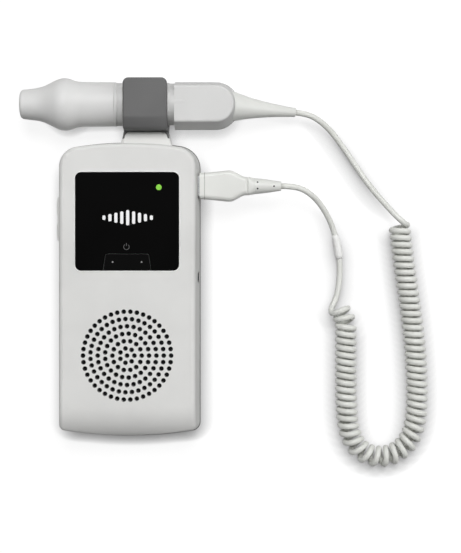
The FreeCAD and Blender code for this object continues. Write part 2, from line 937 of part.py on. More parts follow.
def rear_shell():
    """The drafted rear half: neck, screw bosses, battery bulkheads and the way that the door slides out."""
    form, last = case_half("rear_form", False, 0.0, 0.0)
    round_edges(form, last, dim.back_edge_radius, back_edge)
    room, _ = case_half("rear_room", False, dim.wall, dim.wall)
    hollow = cut("rear_hollow", form, room)

    boss_height = parting_height - wall_bite
    inside = [rod("rear_boss", dim.boss_radius, boss_height, x, y, wall_bite) for x, y in case_screw_spots()]
    web_height = dim.bulkhead_height - wall_bite
    top_y = cells_top + dim.contact_thickness + dim.bulkhead_wall / 2
    low_y = cells_bottom - dim.contact_thickness - dim.bulkhead_wall / 2
    for width, y in ((dim.case_width, top_y), (dim.contact_width, low_y)):
        inside.append(middle_box("bulkhead", width, dim.bulkhead_wall, web_height, 0.0, y, wall_bite))
    fittings = common("rear_fittings", fuse("rear_inside", *inside), form)
    rear_neck = neck("rear_neck", parting_height - dim.neck_bottom, dim.neck_bottom, False)
    solid = fuse("rear_solid", hollow, fittings, rear_neck)

    tools = door_cuts() + neck_cuts()
    for x, y in case_screw_spots():
        tools.append(rod("screw_hole", dim.screw_radius + dim.slip, parting_height + OVER * 2,
                         x, y, -OVER))
        tools.append(rod("screw_seat", dim.screw_head_radius + dim.slip, dim.screw_seat_depth + OVER,
                         x, y, -OVER))
    keep(cut("rear_shell", solid, *tools), "rear_shell")
    return form


def battery_door(case_form):
    """The back panel over the cells, with flanges inside the back wall and grip lines outside."""
    half = door_width / 2 - dim.door_clearance
    low = -dim.case_length
    reach = door_top - dim.door_clearance - low
    panel = common("door_panel", case_form, box("door_area", half * 2, reach, dim.wall, -half, low, 0.0))
    length = flange_top - flange_bottom
    inner = half - dim.door_flange * 2
    across = door_width / 2 + dim.door_flange - inner
    pieces = [panel]
    for side in (-1, 1):
        rib_x = inner if side > 0 else -half
        pieces.append(box("door_rib", half - inner, length, flange_z,
                          rib_x, flange_bottom, wall_bite))
        flange_x = inner if side > 0 else -inner - across
        pieces.append(box("door_flange", across, length, dim.door_flange_thickness,
                          flange_x, flange_bottom, flange_z))
    solid = fuse("door_solid", *pieces)
    lines = []
    for index in range(int(float(dim.door_grip_lines))):
        lines.append(rod("grip_line", dim.door_grip_radius, dim.door_grip_width, -dim.door_grip_width / 2,
                         low_end + dim.door_grip_margin + dim.door_grip_step * index, 0.0, TO_PLUS_X))
    keep(cut("battery_door", solid, *lines), "battery_door")


def screws(name, spots, radius, length, head_radius, head, z):
    """A set of screws that point up, with their heads under z."""
    pieces = []
    for x, y in spots:
        shank = rod("shank", radius, length, x, y, z)
        top = rod("head", head_radius, head, x, y, z - head)
        pieces.append(fuse("screw", shank, top))
    keep(group(name, *pieces), name)


# Window, power key and status lamp


def window_and_key():
    """The black window with its lamp lens, and the power key in a notch of the window."""
    seat = window_seat
    top = seat + dim.window_thickness
    through = dim.window_thickness + OVER * 2
    blank = plate("window_blank", window_width, window_length, dim.window_thickness,
                  dim.window_corner, 0.0, window_y, seat)
    notch = key_tab("key_notch", dim.slip, through, seat - OVER)
    lamp_hole = rod("lamp_hole", dim.lamp_radius + dim.close_fit, through,
                    lamp_x, lamp_y, seat - OVER)
    keep(cut("window_panel", blank, notch, lamp_hole), "window_panel")
    keep(rod("status_lens", dim.lamp_radius, dim.window_thickness, lamp_x, lamp_y, seat),
         "status_lens")
    status_lamp(seat - dim.slip)

    switch_top = board_face + dim.switch_height
    plunger_top = switch_top + dim.plunger_height
    tab = key_tab("key_cap", 0.0, dim.key_thickness, top - dim.key_thickness)
    stem_length = top - dim.key_thickness / 2 - plunger_top
    stem = rod("key_stem", dim.key_stem_radius, stem_length, 0.0, key_y, plunger_top)
    keep(fuse("power_key", tab, stem), "power_key")
    power_switch(switch_top)


def status_lamp(top):
    """The domed lamp on the board under its lens."""
    radius = dim.lamp_radius + dim.slip
    barrel = rod("lamp_barrel", radius, top - radius - board_face, lamp_x, lamp_y, board_face)
    dome = doc.addObject("Part::Sphere", "lamp_dome")
    bind(dome, Radius=radius)
    place(dome, lamp_x, lamp_y, top - radius)
    keep(fuse("status_lamp", barrel, dome), "status_lamp")


def power_switch(top):
    """The switch on the board under the power key, and the plunger that the key pushes in."""
    foot = top - dim.plunger_depth
    room = dim.key_travel + dim.slip
    well = rod("plunger_well", dim.plunger_radius + dim.close_fit, dim.plunger_depth + room + OVER,
               0.0, key_y, foot - room)
    base = middle_box("switch_base", dim.switch_width, dim.switch_width, dim.switch_height,
                      0.0, key_y, board_face)
    keep(cut("power_switch", base, well), "power_switch")
    keep(rod("switch_plunger", dim.plunger_radius, dim.plunger_depth + dim.plunger_height,
             0.0, key_y, foot), "switch_plunger")


# Board, loudspeaker and what sits in the side walls


def main_board():
    """The circuit board, screwed up against posts in the front shell."""
    length = board_top - board_bottom
    blank = plate("board_blank", board_width, length, dim.board_thickness, dim.board_corner, 0.0,
                  board_bottom + length / 2, board_underside)
    through = dim.board_thickness + OVER * 2
    holes = [rod("board_hole", dim.board_screw_radius + dim.slip, through, x, y, board_underside - OVER)
             for x, y in board_spots()]
    keep(cut("main_board", blank, *holes), "main_board")
    screws("board_screws", board_spots(), dim.board_screw_radius, dim.board_screw_length,
           dim.board_screw_head_radius, dim.board_screw_head, board_underside)


def turned(name, profile, x, y, z):
    """A piece turned round an upright axis from its half section of radius and height."""
    body = new_body(name)
    sketch = new_sketch(body, f"{name}_section", "XZ_Plane")
    polygon(sketch, profile)
    revolve(body, sketch)
    return place(body, x, y, z)


def loudspeaker():
    """A flat loudspeaker under the grille: cloth, basket, cone and magnet."""
    top = inner_face - dim.cloth_thickness
    keep(rod("speaker_cloth", dim.speaker_radius, dim.cloth_thickness, 0.0, grille_y, top),
         "speaker_cloth")
    rim_inside = dim.speaker_radius - dim.speaker_rim * 3
    floor = dim.magnet_radius + dim.speaker_rim
    pole = dim.magnet_radius / 3
    sheet = dim.speaker_sheet
    basket = [
        (dim.speaker_radius, 0.0),
        (dim.speaker_radius, -dim.speaker_rim),
        (rim_inside + sheet, -dim.speaker_rim),
        (floor, -dim.speaker_depth),
        (pole, -dim.speaker_depth),
        (pole, sheet - dim.speaker_depth),
        (floor - sheet, sheet - dim.speaker_depth),
        (rim_inside, sheet - dim.speaker_rim),
        (rim_inside, 0.0),
    ]
    keep(turned("speaker_frame", basket, 0.0, grille_y, top), "speaker_frame")
    edge = rim_inside - dim.speaker_rim
    low = sheet + dim.cone_gap - dim.speaker_depth
    high = -dim.cone_gap
    cone = [
        (0.0, low),
        (pole, low),
        (edge, high),
        (edge, high + sheet),
        (pole, low + sheet),
        (0.0, low + sheet),
    ]
    keep(turned("speaker_cone", cone, 0.0, grille_y, top), "speaker_cone")
    keep(rod("speaker_magnet", dim.magnet_radius, dim.magnet_thickness, 0.0, grille_y,
             top - dim.speaker_depth - dim.magnet_thickness), "speaker_magnet")


port_face = inner_side_x - drawn_in(board_underside - port_height, dim.front_draft) - dim.slip
port_block = (board_underside - port_height) * 2
plug_start = dim.case_width / 2 + dim.close_fit
plug_body_end = plug_start + dim.plug_body_length
plug_neck_start = plug_body_end + dim.plug_taper_length
plug_neck_end = plug_neck_start + dim.plug_neck_length
socket_back = plug_start - dim.tongue_shell_length - dim.socket_room


def pins(name, x, length, z, height):
    """A row of flat contacts side by side."""
    count = int(float(dim.plug_pins))
    row = []
    for index in range(count):
        y = socket_y + dim.pin_pitch * (index - (count - 1) / 2)
        row.append(box("pin", length, dim.pin_width, height, x, y - dim.pin_width / 2, z))
    keep(group(name, *row), name)


def side_ports():
    """The probe socket with its contacts, and the headphone jack, under the board's right edge."""
    low = board_underside - port_block
    block = middle_box("socket_block", dim.socket_depth, dim.socket_width, port_block,
                       port_face - dim.socket_depth / 2, socket_y, low)
    mouth = middle_box("socket_mouth", (port_face - socket_back) * 2, dim.tongue_shell_width + dim.slip * 2,
                       dim.tongue_shell_height + dim.slip * 2, port_face, socket_y,
                       port_height - dim.tongue_shell_height / 2 - dim.slip)
    keep(cut("probe_socket", block, mouth), "probe_socket")
    room = dim.tongue_shell_height / 2 - dim.tongue_shell_wall
    pins("socket_contacts", socket_back, dim.socket_pin_length, port_height - room + dim.slip,
         room - dim.slip * 2)

    body = middle_box("jack_body", dim.jack_length, dim.jack_width, port_block,
                      port_face - dim.jack_length / 2, jack_y, low)
    nose_end = side_x - drawn_in(dim.jack_nose_radius, dim.front_draft)
    root = port_face - dim.slip
    nose = rod("jack_nose", dim.jack_nose_radius, nose_end - root, root, jack_y,
               port_height, TO_PLUS_X)
    bore = rod("jack_bore", dim.jack_bore_radius, dim.jack_bore_length + OVER,
               nose_end - dim.jack_bore_length, jack_y, port_height, TO_PLUS_X)
    keep(cut("headphone_jack", fuse("jack_solid", body, nose), bore), "headphone_jack")


def rocker():
    """The volume rocker in the left wall, its pin, and the two switches that its ends press."""
    outer = -side_x - dim.rocker_stand_out
    low = port_height - dim.rocker_height / 2
    bar = plate("rocker_bar", dim.rocker_thickness, dim.rocker_length, dim.rocker_height,
                dim.rocker_stand_out, outer + dim.rocker_thickness / 2, rocker_y, low)
    root = dim.rocker_thickness / 2
    lug = middle_box("rocker_lug", dim.rocker_lug_reach - root, dim.rocker_lug_width, dim.rocker_height,
                     outer + (dim.rocker_lug_reach + root) / 2, rocker_y, low)
    bore = rod("rocker_bore", dim.rocker_pin_radius + dim.close_fit, dim.rocker_height + OVER * 2,
               rocker_pin_x, rocker_y, low - OVER)
    keep(cut("volume_rocker", fuse("rocker_solid", bar, lug), bore), "volume_rocker")
    pin_length = dim.rocker_height + (dim.slip + dim.bracket_thickness) * 2
    keep(rod("rocker_pin", dim.rocker_pin_radius, pin_length, rocker_pin_x, rocker_y,
             port_height - pin_length / 2), "rocker_pin")
    start = outer + dim.rocker_thickness + dim.rocker_stand_out
    reach = -board_width / 2 + dim.wall - start
    pair = []
    for side in (-1, 1):
        pair.append(middle_box("volume_switch", reach, dim.volume_switch_size, dim.volume_switch_size,
                               start + reach / 2, rocker_y + dim.volume_switch_spread * side,
                               board_underside - dim.volume_switch_size))
    keep(group("volume_switches", *pair), "volume_switches")


# Batteries

magnet_bottom = inner_face - dim.cloth_thickness - dim.speaker_depth - dim.magnet_thickness
cell_radius = (magnet_bottom - dim.magnet_gap - dim.cell_floor) / 2
cell_spread = cell_radius + dim.cell_gap / 2
cell_z = dim.cell_floor + cell_radius


def batteries():
    """Two cells side by side, head to tail, between two contact plates."""
    barrel = dim.cell_length - dim.cell_nub
    low = cells_bottom
    spread = cell_spread
    cells = []
    for x, barrel_y, nub_y in (
        (-spread, low + dim.spring_room, cells_top - dim.cell_nub),
        (spread, low + dim.cell_nub, low),
    ):
        cells.append(fuse("cell",
                          rod("barrel", cell_radius, barrel, x, barrel_y, cell_z, TO_PLUS_Y),
                          rod("nub", dim.cell_nub_radius, dim.cell_nub, x, nub_y, cell_z, TO_PLUS_Y)))
    keep(group("battery_cells", *cells), "battery_cells")
    plates = []
    for y in (low - dim.contact_thickness / 2, cells_top + dim.contact_thickness / 2):
        plates.append(middle_box("contact_plate", dim.contact_width, dim.contact_thickness,
                                 dim.contact_height, 0.0, y, cell_z - dim.contact_height / 2))
    keep(group("battery_contacts", *plates), "battery_contacts")


# Probe clip


def probe_clip():
    """A grey channel that holds the probe, open at the far end, with a tongue screwed into the neck."""
    body = new_body("clip_channel")
    sketch = new_sketch(body, "clip_section", "YZ_Plane")
    tall = clip_bore + dim.clip_wall
    back = -clip_bore - dim.clip_web
    shoulder = back + dim.clip_slope_run
    flank = tall - dim.clip_slope_fall
    corners = [
        (0.0, clip_bore),
        (dim.clip_reach, clip_bore),
        (dim.clip_reach, tall),
        (shoulder, tall),
        (back, flank),
        (back, -flank),
        (shoulder, -tall),
        (dim.clip_reach, -tall),
        (dim.clip_reach, -clip_bore),
        (0.0, -clip_bore),
    ]
    points = [Vector(float(y), float(z), 0) for y, z in corners]
    for first, second in zip(points, points[1:]):
        sketch.addGeometry(Part.LineSegment(first, second), False)
    around = Part.Circle(Vector(0, 0, 0), Vector(0, 0, 1), float(clip_bore))
    bend = sketch.addGeometry(Part.ArcOfCircle(around, math.pi / 2, 3 * math.pi / 2), False)
    for index in range(bend - 1):
        sketch.addConstraint(Sketcher.Constraint("Coincident", index, 2, index + 1, 1))
    sketch.addConstraint(Sketcher.Constraint("Coincident", bend - 1, 2, bend, 2))
    sketch.addConstraint(Sketcher.Constraint("Coincident", bend, 1, 0, 1))
    for index, (y, z) in enumerate(corners[:bend]):
        hold_point(sketch, index, 1, y, z)
    hold_point(sketch, bend - 1, 2, 0.0, -clip_bore)
    hold(sketch, "DistanceX", -1, 1, bend, 3, amount=0.0)
    channel = pad(body, sketch, dim.clip_width)

    def tip_corner(edge):
        return stands_up(edge) and abs(edge.Vertexes[0].Y - float(dim.clip_reach)) < 1e-4

    def outer_edge(edge):
        flat = all(abs(abs(point.z) - float(tall)) < 1e-4 for point in edge.discretize(3))
        across = edge.Vertexes[0].X != edge.Vertexes[-1].X
        on_slope = all(abs(point.y - float(shoulder)) < 1e-4 for point in edge.discretize(3))
        return flat and not (across and on_slope)

    turned_in = round_edges(body, channel, dim.clip_tip_radius, tip_corner)
    round_edges(body, turned_in, dim.clip_edge_radius, outer_edge)
    place(body, dim.clip_x - dim.clip_width / 2, probe_y, dim.probe_z)
    tongue_low = tongue_z - dim.tongue_thickness / 2
    tongue = box("clip_tongue", dim.tongue_width, clip_back + dim.clip_web / 2 - tongue_y,
                 dim.tongue_thickness, dim.clip_x - dim.tongue_width / 2, tongue_y, tongue_low)
    bore = rod("tongue_bore", dim.clip_screw_radius + dim.close_fit, dim.tongue_thickness + OVER * 2,
               dim.clip_x, clip_screw_y, tongue_low - OVER)
    keep(cut("probe_clip", fuse("clip_solid", body, tongue), bore), "probe_clip")
    seat = dim.neck_bottom + dim.clip_screw_head
    screws("clip_screw", [(dim.clip_x, clip_screw_y)], dim.clip_screw_radius, tongue_z - seat,
           dim.clip_screw_head_radius, dim.clip_screw_head, seat)


# Probe


def spun(name, edges, axis_point, axis_way):
    """A solid turned from a closed half section of edges round an axis."""
    piece = doc.addObject("Part::Feature", name)
    face = Part.Face(Part.Wire(Part.__sortEdges__(edges)))
    piece.Shape = face.revolve(axis_point, axis_way, 360)
    return piece


def probe_rod(name, radius, x, length):
    """A round bar on the probe's own axis."""
    return rod(name, radius, length, x, probe_y, dim.probe_z, TO_PLUS_X)


def probe_nose():
    """The probe's front: a blunt tip, a slim waist and a swelling where the fingers rest."""
    end = Vector(float(dim.nose_end), float(dim.nose_end_radius), 0)
    tip = float(dim.nose_tip)
    rim = float(dim.tip_radius - dim.tip_face_radius)
    face = Vector(tip, float(dim.tip_face_radius), 0)
    shoulder = Vector(tip + rim, float(dim.tip_radius), 0)
    bow = Vector(tip + rim * (1 - math.sqrt(0.5)), float(dim.tip_face_radius) + rim * math.sqrt(0.5), 0)
    waist = Vector(float(dim.waist_x), float(dim.waist_radius), 0)
    bulge = Vector(float(dim.bulge_x), float(dim.bulge_radius), 0)
    fall = Vector(float(dim.bulge_end), float(dim.bulge_end_radius), 0)
    swell = Part.BSplineCurve()
    along = Vector(1, 0, 0)
    swell.interpolate(
        Points=[waist, bulge, fall],
        Tangents=[(waist - shoulder).normalize(), along, (end - fall).normalize()],
        TangentFlags=[True, True, True],
    )
    start = Vector(tip, 0, 0)
    foot = Vector(end.x, 0, 0)
    edges = [
        Part.LineSegment(start, face).toShape(),
        Part.Arc(face, bow, shoulder).toShape(),
        Part.LineSegment(shoulder, waist).toShape(),
        swell.toShape(),
        Part.LineSegment(fall, end).toShape(),
        Part.LineSegment(end, foot).toShape(),
        Part.LineSegment(foot, start).toShape(),
    ]
    solid = place(spun("nose_solid", edges, start, along), 0.0, probe_y, dim.probe_z)
    stack = dim.lens_thickness + dim.crystal_thickness + dim.backing_length
    seat = probe_rod("lens_seat", dim.lens_radius + dim.close_fit, dim.nose_tip - OVER, stack + OVER)
    bore = probe_rod("lead_bore", dim.lead_bore_radius, dim.nose_tip, dim.nose_end - dim.nose_tip + OVER)
    keep(cut("probe_nose", solid, seat, bore), "probe_nose")


def transducer():
    """Behind the tip: the acoustic lens, the two half-round crystals and their backing."""
    crystal_x = dim.nose_tip + dim.lens_thickness
    backing_x = crystal_x + dim.crystal_thickness
    keep(probe_rod("acoustic_lens", dim.lens_radius, dim.nose_tip, dim.lens_thickness), "acoustic_lens")
    disc = probe_rod("crystal_disc", dim.lens_radius, crystal_x, dim.crystal_thickness)
    gap = middle_box("crystal_split", dim.crystal_thickness * 3, dim.crystal_gap,
                     (dim.lens_radius + OVER) * 2, crystal_x, probe_y,
                     dim.probe_z - dim.lens_radius - OVER)
    keep(cut("transducer_crystals", disc, gap), "transducer_crystals")
    keep(probe_rod("crystal_backing", dim.lens_radius, backing_x, dim.backing_length), "crystal_backing")


def rounded_end(sketch, start, end, half, corner):
    """A plan with a square start and a rounded far end."""
    left, right, wide, bend = float(start), float(end), float(half), float(corner)

    def line(x, y, to_x, to_y):
        sketch.addGeometry(Part.LineSegment(Vector(x, y, 0), Vector(to_x, to_y, 0)), False)

    def quarter(y, first_angle):
        around = Part.Circle(Vector(right - bend, y, 0), Vector(0, 0, 1), bend)
        sketch.addGeometry(Part.ArcOfCircle(around, first_angle, first_angle + math.pi / 2), False)

    line(left, -wide, right - bend, -wide)
    quarter(bend - wide, -math.pi / 2)
    line(right, bend - wide, right, wide - bend)
    quarter(wide - bend, 0)
    line(right - bend, wide, left, wide)
    line(left, wide, left, -wide)
    for index in range(4):
        sketch.addConstraint(Sketcher.Constraint("Tangent", index, 2, index + 1, 1))
    sketch.addConstraint(Sketcher.Constraint("Coincident", 4, 2, 5, 1))
    sketch.addConstraint(Sketcher.Constraint("Coincident", 5, 2, 0, 1))
    for kind, index in (("Horizontal", 0), ("Vertical", 2), ("Horizontal", 4)):
        sketch.addConstraint(Sketcher.Constraint(kind, index))
    for index in (1, 3):
        hold(sketch, "Radius", index, amount=corner)
    hold_point(sketch, 0, 1, start, -half)
    hold_point(sketch, 5, 1, start, half)
    hold(sketch, "DistanceX", -1, 1, 2, 1, amount=end)


def probe_form(name, inset):
    """The upper half of the probe's handle: a round grip, a groove and a flat-faced housing."""
    grip = probe_rod(f"{name}_grip", dim.grip_radius - inset, dim.nose_end, dim.groove_start - dim.nose_end)
    groove = probe_rod(f"{name}_groove", dim.grip_radius - dim.groove_depth - inset, dim.groove_start,
                       dim.groove_end - dim.groove_start + REACH)
    body = new_body(f"{name}_housing")
    sketch = new_sketch(body, f"{name}_plan", "XY_Plane")
    half = dim.housing_half_width - inset
    start = dim.groove_end - REACH * 2
    end = dim.housing_end - inset
    rounded_end(sketch, start, end, half, dim.housing_corner - inset)
    raised = pad(body, sketch, dim.housing_half_height - inset, dim.housing_draft)

    def top_edge(edge):
        return all(abs(p.z - float(dim.housing_half_height)) < 1e-4 for p in edge.discretize(3))

    if float(inset) == 0:
        round_edges(body, raised, dim.housing_edge, top_edge)
    place(body, 0.0, housing_y, dim.probe_z)
    tall = dim.case_width
    trim = middle_box(f"{name}_trim", REACH * 4, tall, tall, start, probe_y, dim.probe_z - tall / 2)
    housing = cut(f"{name}_trimmed", body, trim)
    whole = fuse(f"{name}_whole", grip, groove, housing)
    upper = middle_box(f"{name}_upper", dim.housing_end * 4, tall, tall, 0.0, probe_y, dim.probe_z)
    return common(f"{name}_half", whole, upper)


def on_route(point):
    """A route's point in the part's own frame."""
    x, along, height = point
    return Vector(x, float(top_end) + along, height)


plug_route = PLUG_LEAD + [(x, along, float(port_height)) for x, along in PLUG_ENTRY]
boot_base = Vector(float(dim.boot_x), float(housing_y), float(dim.probe_z - dim.boot_drop))
boot_way = (on_route(PROBE_LEAD[0]) - boot_base).normalize()
boot_tip = on_route(PROBE_LEAD[0]) - boot_way * float(dim.close_fit)
plug_boot_base = Vector(float(plug_neck_end), float(socket_y), float(port_height))
plug_boot_tip = on_route(plug_route[-1])


def probe_shells():
    """The handle's two hollow halves, with a round seat for the boot at their far end."""
    form = probe_form("probe_outside", 0.0)
    room = probe_form("probe_room", dim.probe_wall)
    upper = cut("probe_upper_blank", form, room)
    lower = doc.addObject("Part::Mirroring", "probe_lower_blank")
    lower.Source = upper
    lower.Normal = Vector(0, 0, 1)
    lower.setExpression("Base.z", dim.probe_z.text)
    seats = []
    for side in ("upper", "lower"):
        seat = rod(f"{side}_boot_seat", dim.boot_base_radius + dim.slip, dim.housing_end, dim.boot_x,
                   housing_y, dim.probe_z - dim.boot_drop, Rotation(Vector(0, 0, 1), boot_way))
        seats.append(seat)
    keep(cut("probe_upper_shell", upper, seats[0]), "probe_upper_shell")
    keep(cut("probe_lower_shell", lower, seats[1]), "probe_lower_shell")
    width = (dim.grip_radius - dim.groove_depth - dim.probe_wall - dim.slip) * 2
    keep(box("probe_board", dim.probe_board_length, width, dim.probe_board_thickness, dim.probe_board_start,
             probe_y - width / 2, dim.probe_z - dim.probe_board_thickness / 2), "probe_board")


# How far along a boot its side stops falling in fast
BOOT_WAIST = 0.35


def boot(name, base, tip, base_radius, waist_radius, tip_radius):
    """A strain relief that sweeps in from its base to the cord at its tip."""
    length = (tip - base).Length
    sweep = Part.BezierCurve()
    sweep.setPoles([
        Vector(0, float(base_radius), 0),
        Vector(BOOT_WAIST * length, float(waist_radius), 0),
        Vector(length, float(tip_radius), 0),
    ])
    start = Vector(0, 0, 0)
    end = Vector(length, 0, 0)
    edges = [
        Part.LineSegment(start, Vector(0, float(base_radius), 0)).toShape(),
        sweep.toShape(),
        Part.LineSegment(Vector(length, float(tip_radius), 0), end).toShape(),
        Part.LineSegment(end, start).toShape(),
    ]
    piece = spun(name, edges, start, Vector(1, 0, 0))
    piece.Placement = Placement(base, Rotation(Vector(1, 0, 0), tip - base))
    keep(piece, name)


# Plug


def plug():
    """The flat plug in the right wall: a moulded housing, a metal tongue with contacts, and a boot."""
    body = new_body("plug_housing")
    sketch = new_sketch(body, "plug_plan", "XY_Plane")
    collar_end = plug_start + dim.plug_collar
    slim = dim.plug_collar_width / 2
    wide = dim.plug_width / 2
    neck_half = dim.plug_neck_width / 2
    polygon(sketch, [
        (plug_start, -slim),
        (collar_end, -slim),
        (plug_body_end, -wide),
        (plug_neck_start, -neck_half),
        (plug_neck_end, -neck_half),
        (plug_neck_end, neck_half),
        (plug_neck_start, neck_half),
        (plug_body_end, wide),
        (collar_end, slim),
        (plug_start, slim),
    ])
    raised = pad(body, sketch, dim.plug_thickness)

    def flat_edge(edge):
        ends = [vertex.Point for vertex in edge.Vertexes]
        level = abs(ends[0].z - ends[-1].z) < 1e-6
        return level and not all(abs(p.x - float(plug_start)) < 1e-4 for p in ends)

    def shoulder(edge):
        x = edge.Vertexes[0].X
        return stands_up(edge) and min(abs(x - float(plug_body_end)), abs(x - float(plug_neck_start))) < 1e-4

    bent = round_edges(body, raised, dim.plug_shoulder, shoulder)
    round_edges(body, bent, dim.plug_edge, flat_edge)
    place(body, 0.0, socket_y, port_height - dim.plug_thickness / 2)
    keep(body, "plug_housing")
    wall = dim.tongue_shell_wall
    middle = plug_start - dim.tongue_shell_length / 2
    low = port_height - dim.tongue_shell_height / 2
    outside = middle_box("tongue_outside", dim.tongue_shell_length, dim.tongue_shell_width,
                         dim.tongue_shell_height, middle, socket_y, low)
    inside = middle_box("tongue_inside", dim.tongue_shell_length + OVER * 2,
                        dim.tongue_shell_width - wall * 2, dim.tongue_shell_height - wall * 2,
                        middle, socket_y, low + wall)
    keep(cut("plug_tongue", outside, inside), "plug_tongue")
    room = dim.tongue_shell_height / 2 - wall
    length = dim.plug_pin_length
    pins("plug_contacts", plug_start - length, length, port_height + dim.slip, room - dim.slip * 2)
    boot("plug_boot", plug_boot_base, plug_boot_tip, dim.plug_boot_radius, dim.plug_boot_waist_radius,
         dim.plug_boot_end_radius)


# Cord and springs


# How much of a run each of its two bends may take, and the step that a winding's direction is read over
BEND_SHARE = 0.45
ANGLE_STEP = 0.002


def curved_tube(edges, radius):
    """A round tube along a chain of lines and arcs."""
    path = Part.Wire(edges)
    first = path.Edges[0]
    start = first.valueAt(first.FirstParameter)
    way = first.tangentAt(first.FirstParameter)
    ring = Part.Wire(Part.Circle(start, way, radius).toShape())
    solid = path.makePipeShell([ring], True, False)
    expected = math.pi * radius**2 * path.Length
    return solid, path, solid.Volume / expected


def route_edges(name, points):
    """Straight runs joined by tangent arcs that are as large as their runs allow."""
    spots = [on_route(point) for point in points]
    edges = []
    radii = []
    start = spots[0]
    for before, corner, after in zip(spots, spots[1:], spots[2:]):
        back = before - corner
        ahead = after - corner
        trimmed = BEND_SHARE * min(back.Length, ahead.Length)
        back.normalize()
        ahead.normalize()
        half_turn = (math.pi - back.getAngle(ahead)) / 2
        radius = trimmed / math.tan(half_turn)
        radii.append(radius)
        enter = corner + back * trimmed
        leave = corner + ahead * trimmed
        bow = corner + (back + ahead).normalize() * radius * (1 / math.cos(half_turn) - 1)
        edges.append(Part.LineSegment(start, enter).toShape())
        edges.append(Part.Arc(enter, bow, leave).toShape())
        start = leave
    edges.append(Part.LineSegment(start, spots[-1]).toShape())
    print(name, "radii", [round(radius, 1) for radius in radii])
    return edges


def lead(name, points):
    """A free stretch of plain cord."""
    edges = route_edges(name, points)
    solid, path, share = curved_tube(edges, float(dim.cord_radius))
    print(name, "length", round(path.Length, 1), "volume share", round(share, 4))
    piece = doc.addObject("Part::Feature", name)
    piece.Shape = solid
    keep(piece, name)
    return edges


def sleeve(edges):
    """The short sleeve round the plug lead."""
    run = int(SLEEVE_RUN)
    stretch = edges[2 * run - 1 : 2 * run + 2]
    bore = float(dim.cord_radius + dim.close_fit)
    inside, _, _ = curved_tube(stretch, bore)
    outside, _, _ = curved_tube(stretch, bore + float(dim.sleeve_wall))
    piece = doc.addObject("Part::Feature", "cord_sleeve")
    piece.Shape = outside.cut(inside)
    keep(piece, "cord_sleeve")


def arc_to(start, control, end):
    """The arc from start to end whose end tangents meet at the control point."""
    middle = (start + end) * 0.5
    height = control - middle
    half_chord = (end - start).Length / 2
    if height.Length < 1e-9:
        return Part.LineSegment(start, end).toShape()
    half_turn = math.atan2(height.Length, half_chord)
    bow = middle + height.normalize() * half_chord * math.tan(half_turn / 2)
    return Part.Arc(start, bow, end).toShape()


def biarc(start, start_way, end, end_way):
    """Two arcs that leave and arrive along the given ways and meet smoothly between."""
    chord = end - start
    both = start_way + end_way
    spread = 2 * (1 - start_way.dot(end_way))
    slant = chord.dot(both)
    if spread < 1e-9:
        reach = chord.dot(chord) / (4 * chord.dot(end_way))
    else:
        reach = (math.sqrt(slant**2 + spread * chord.dot(chord)) - slant) / spread
    first = start + start_way * reach
    second = end - end_way * reach
    joint = (first + second) * 0.5
    return [arc_to(start, first, joint), arc_to(joint, second, end)]


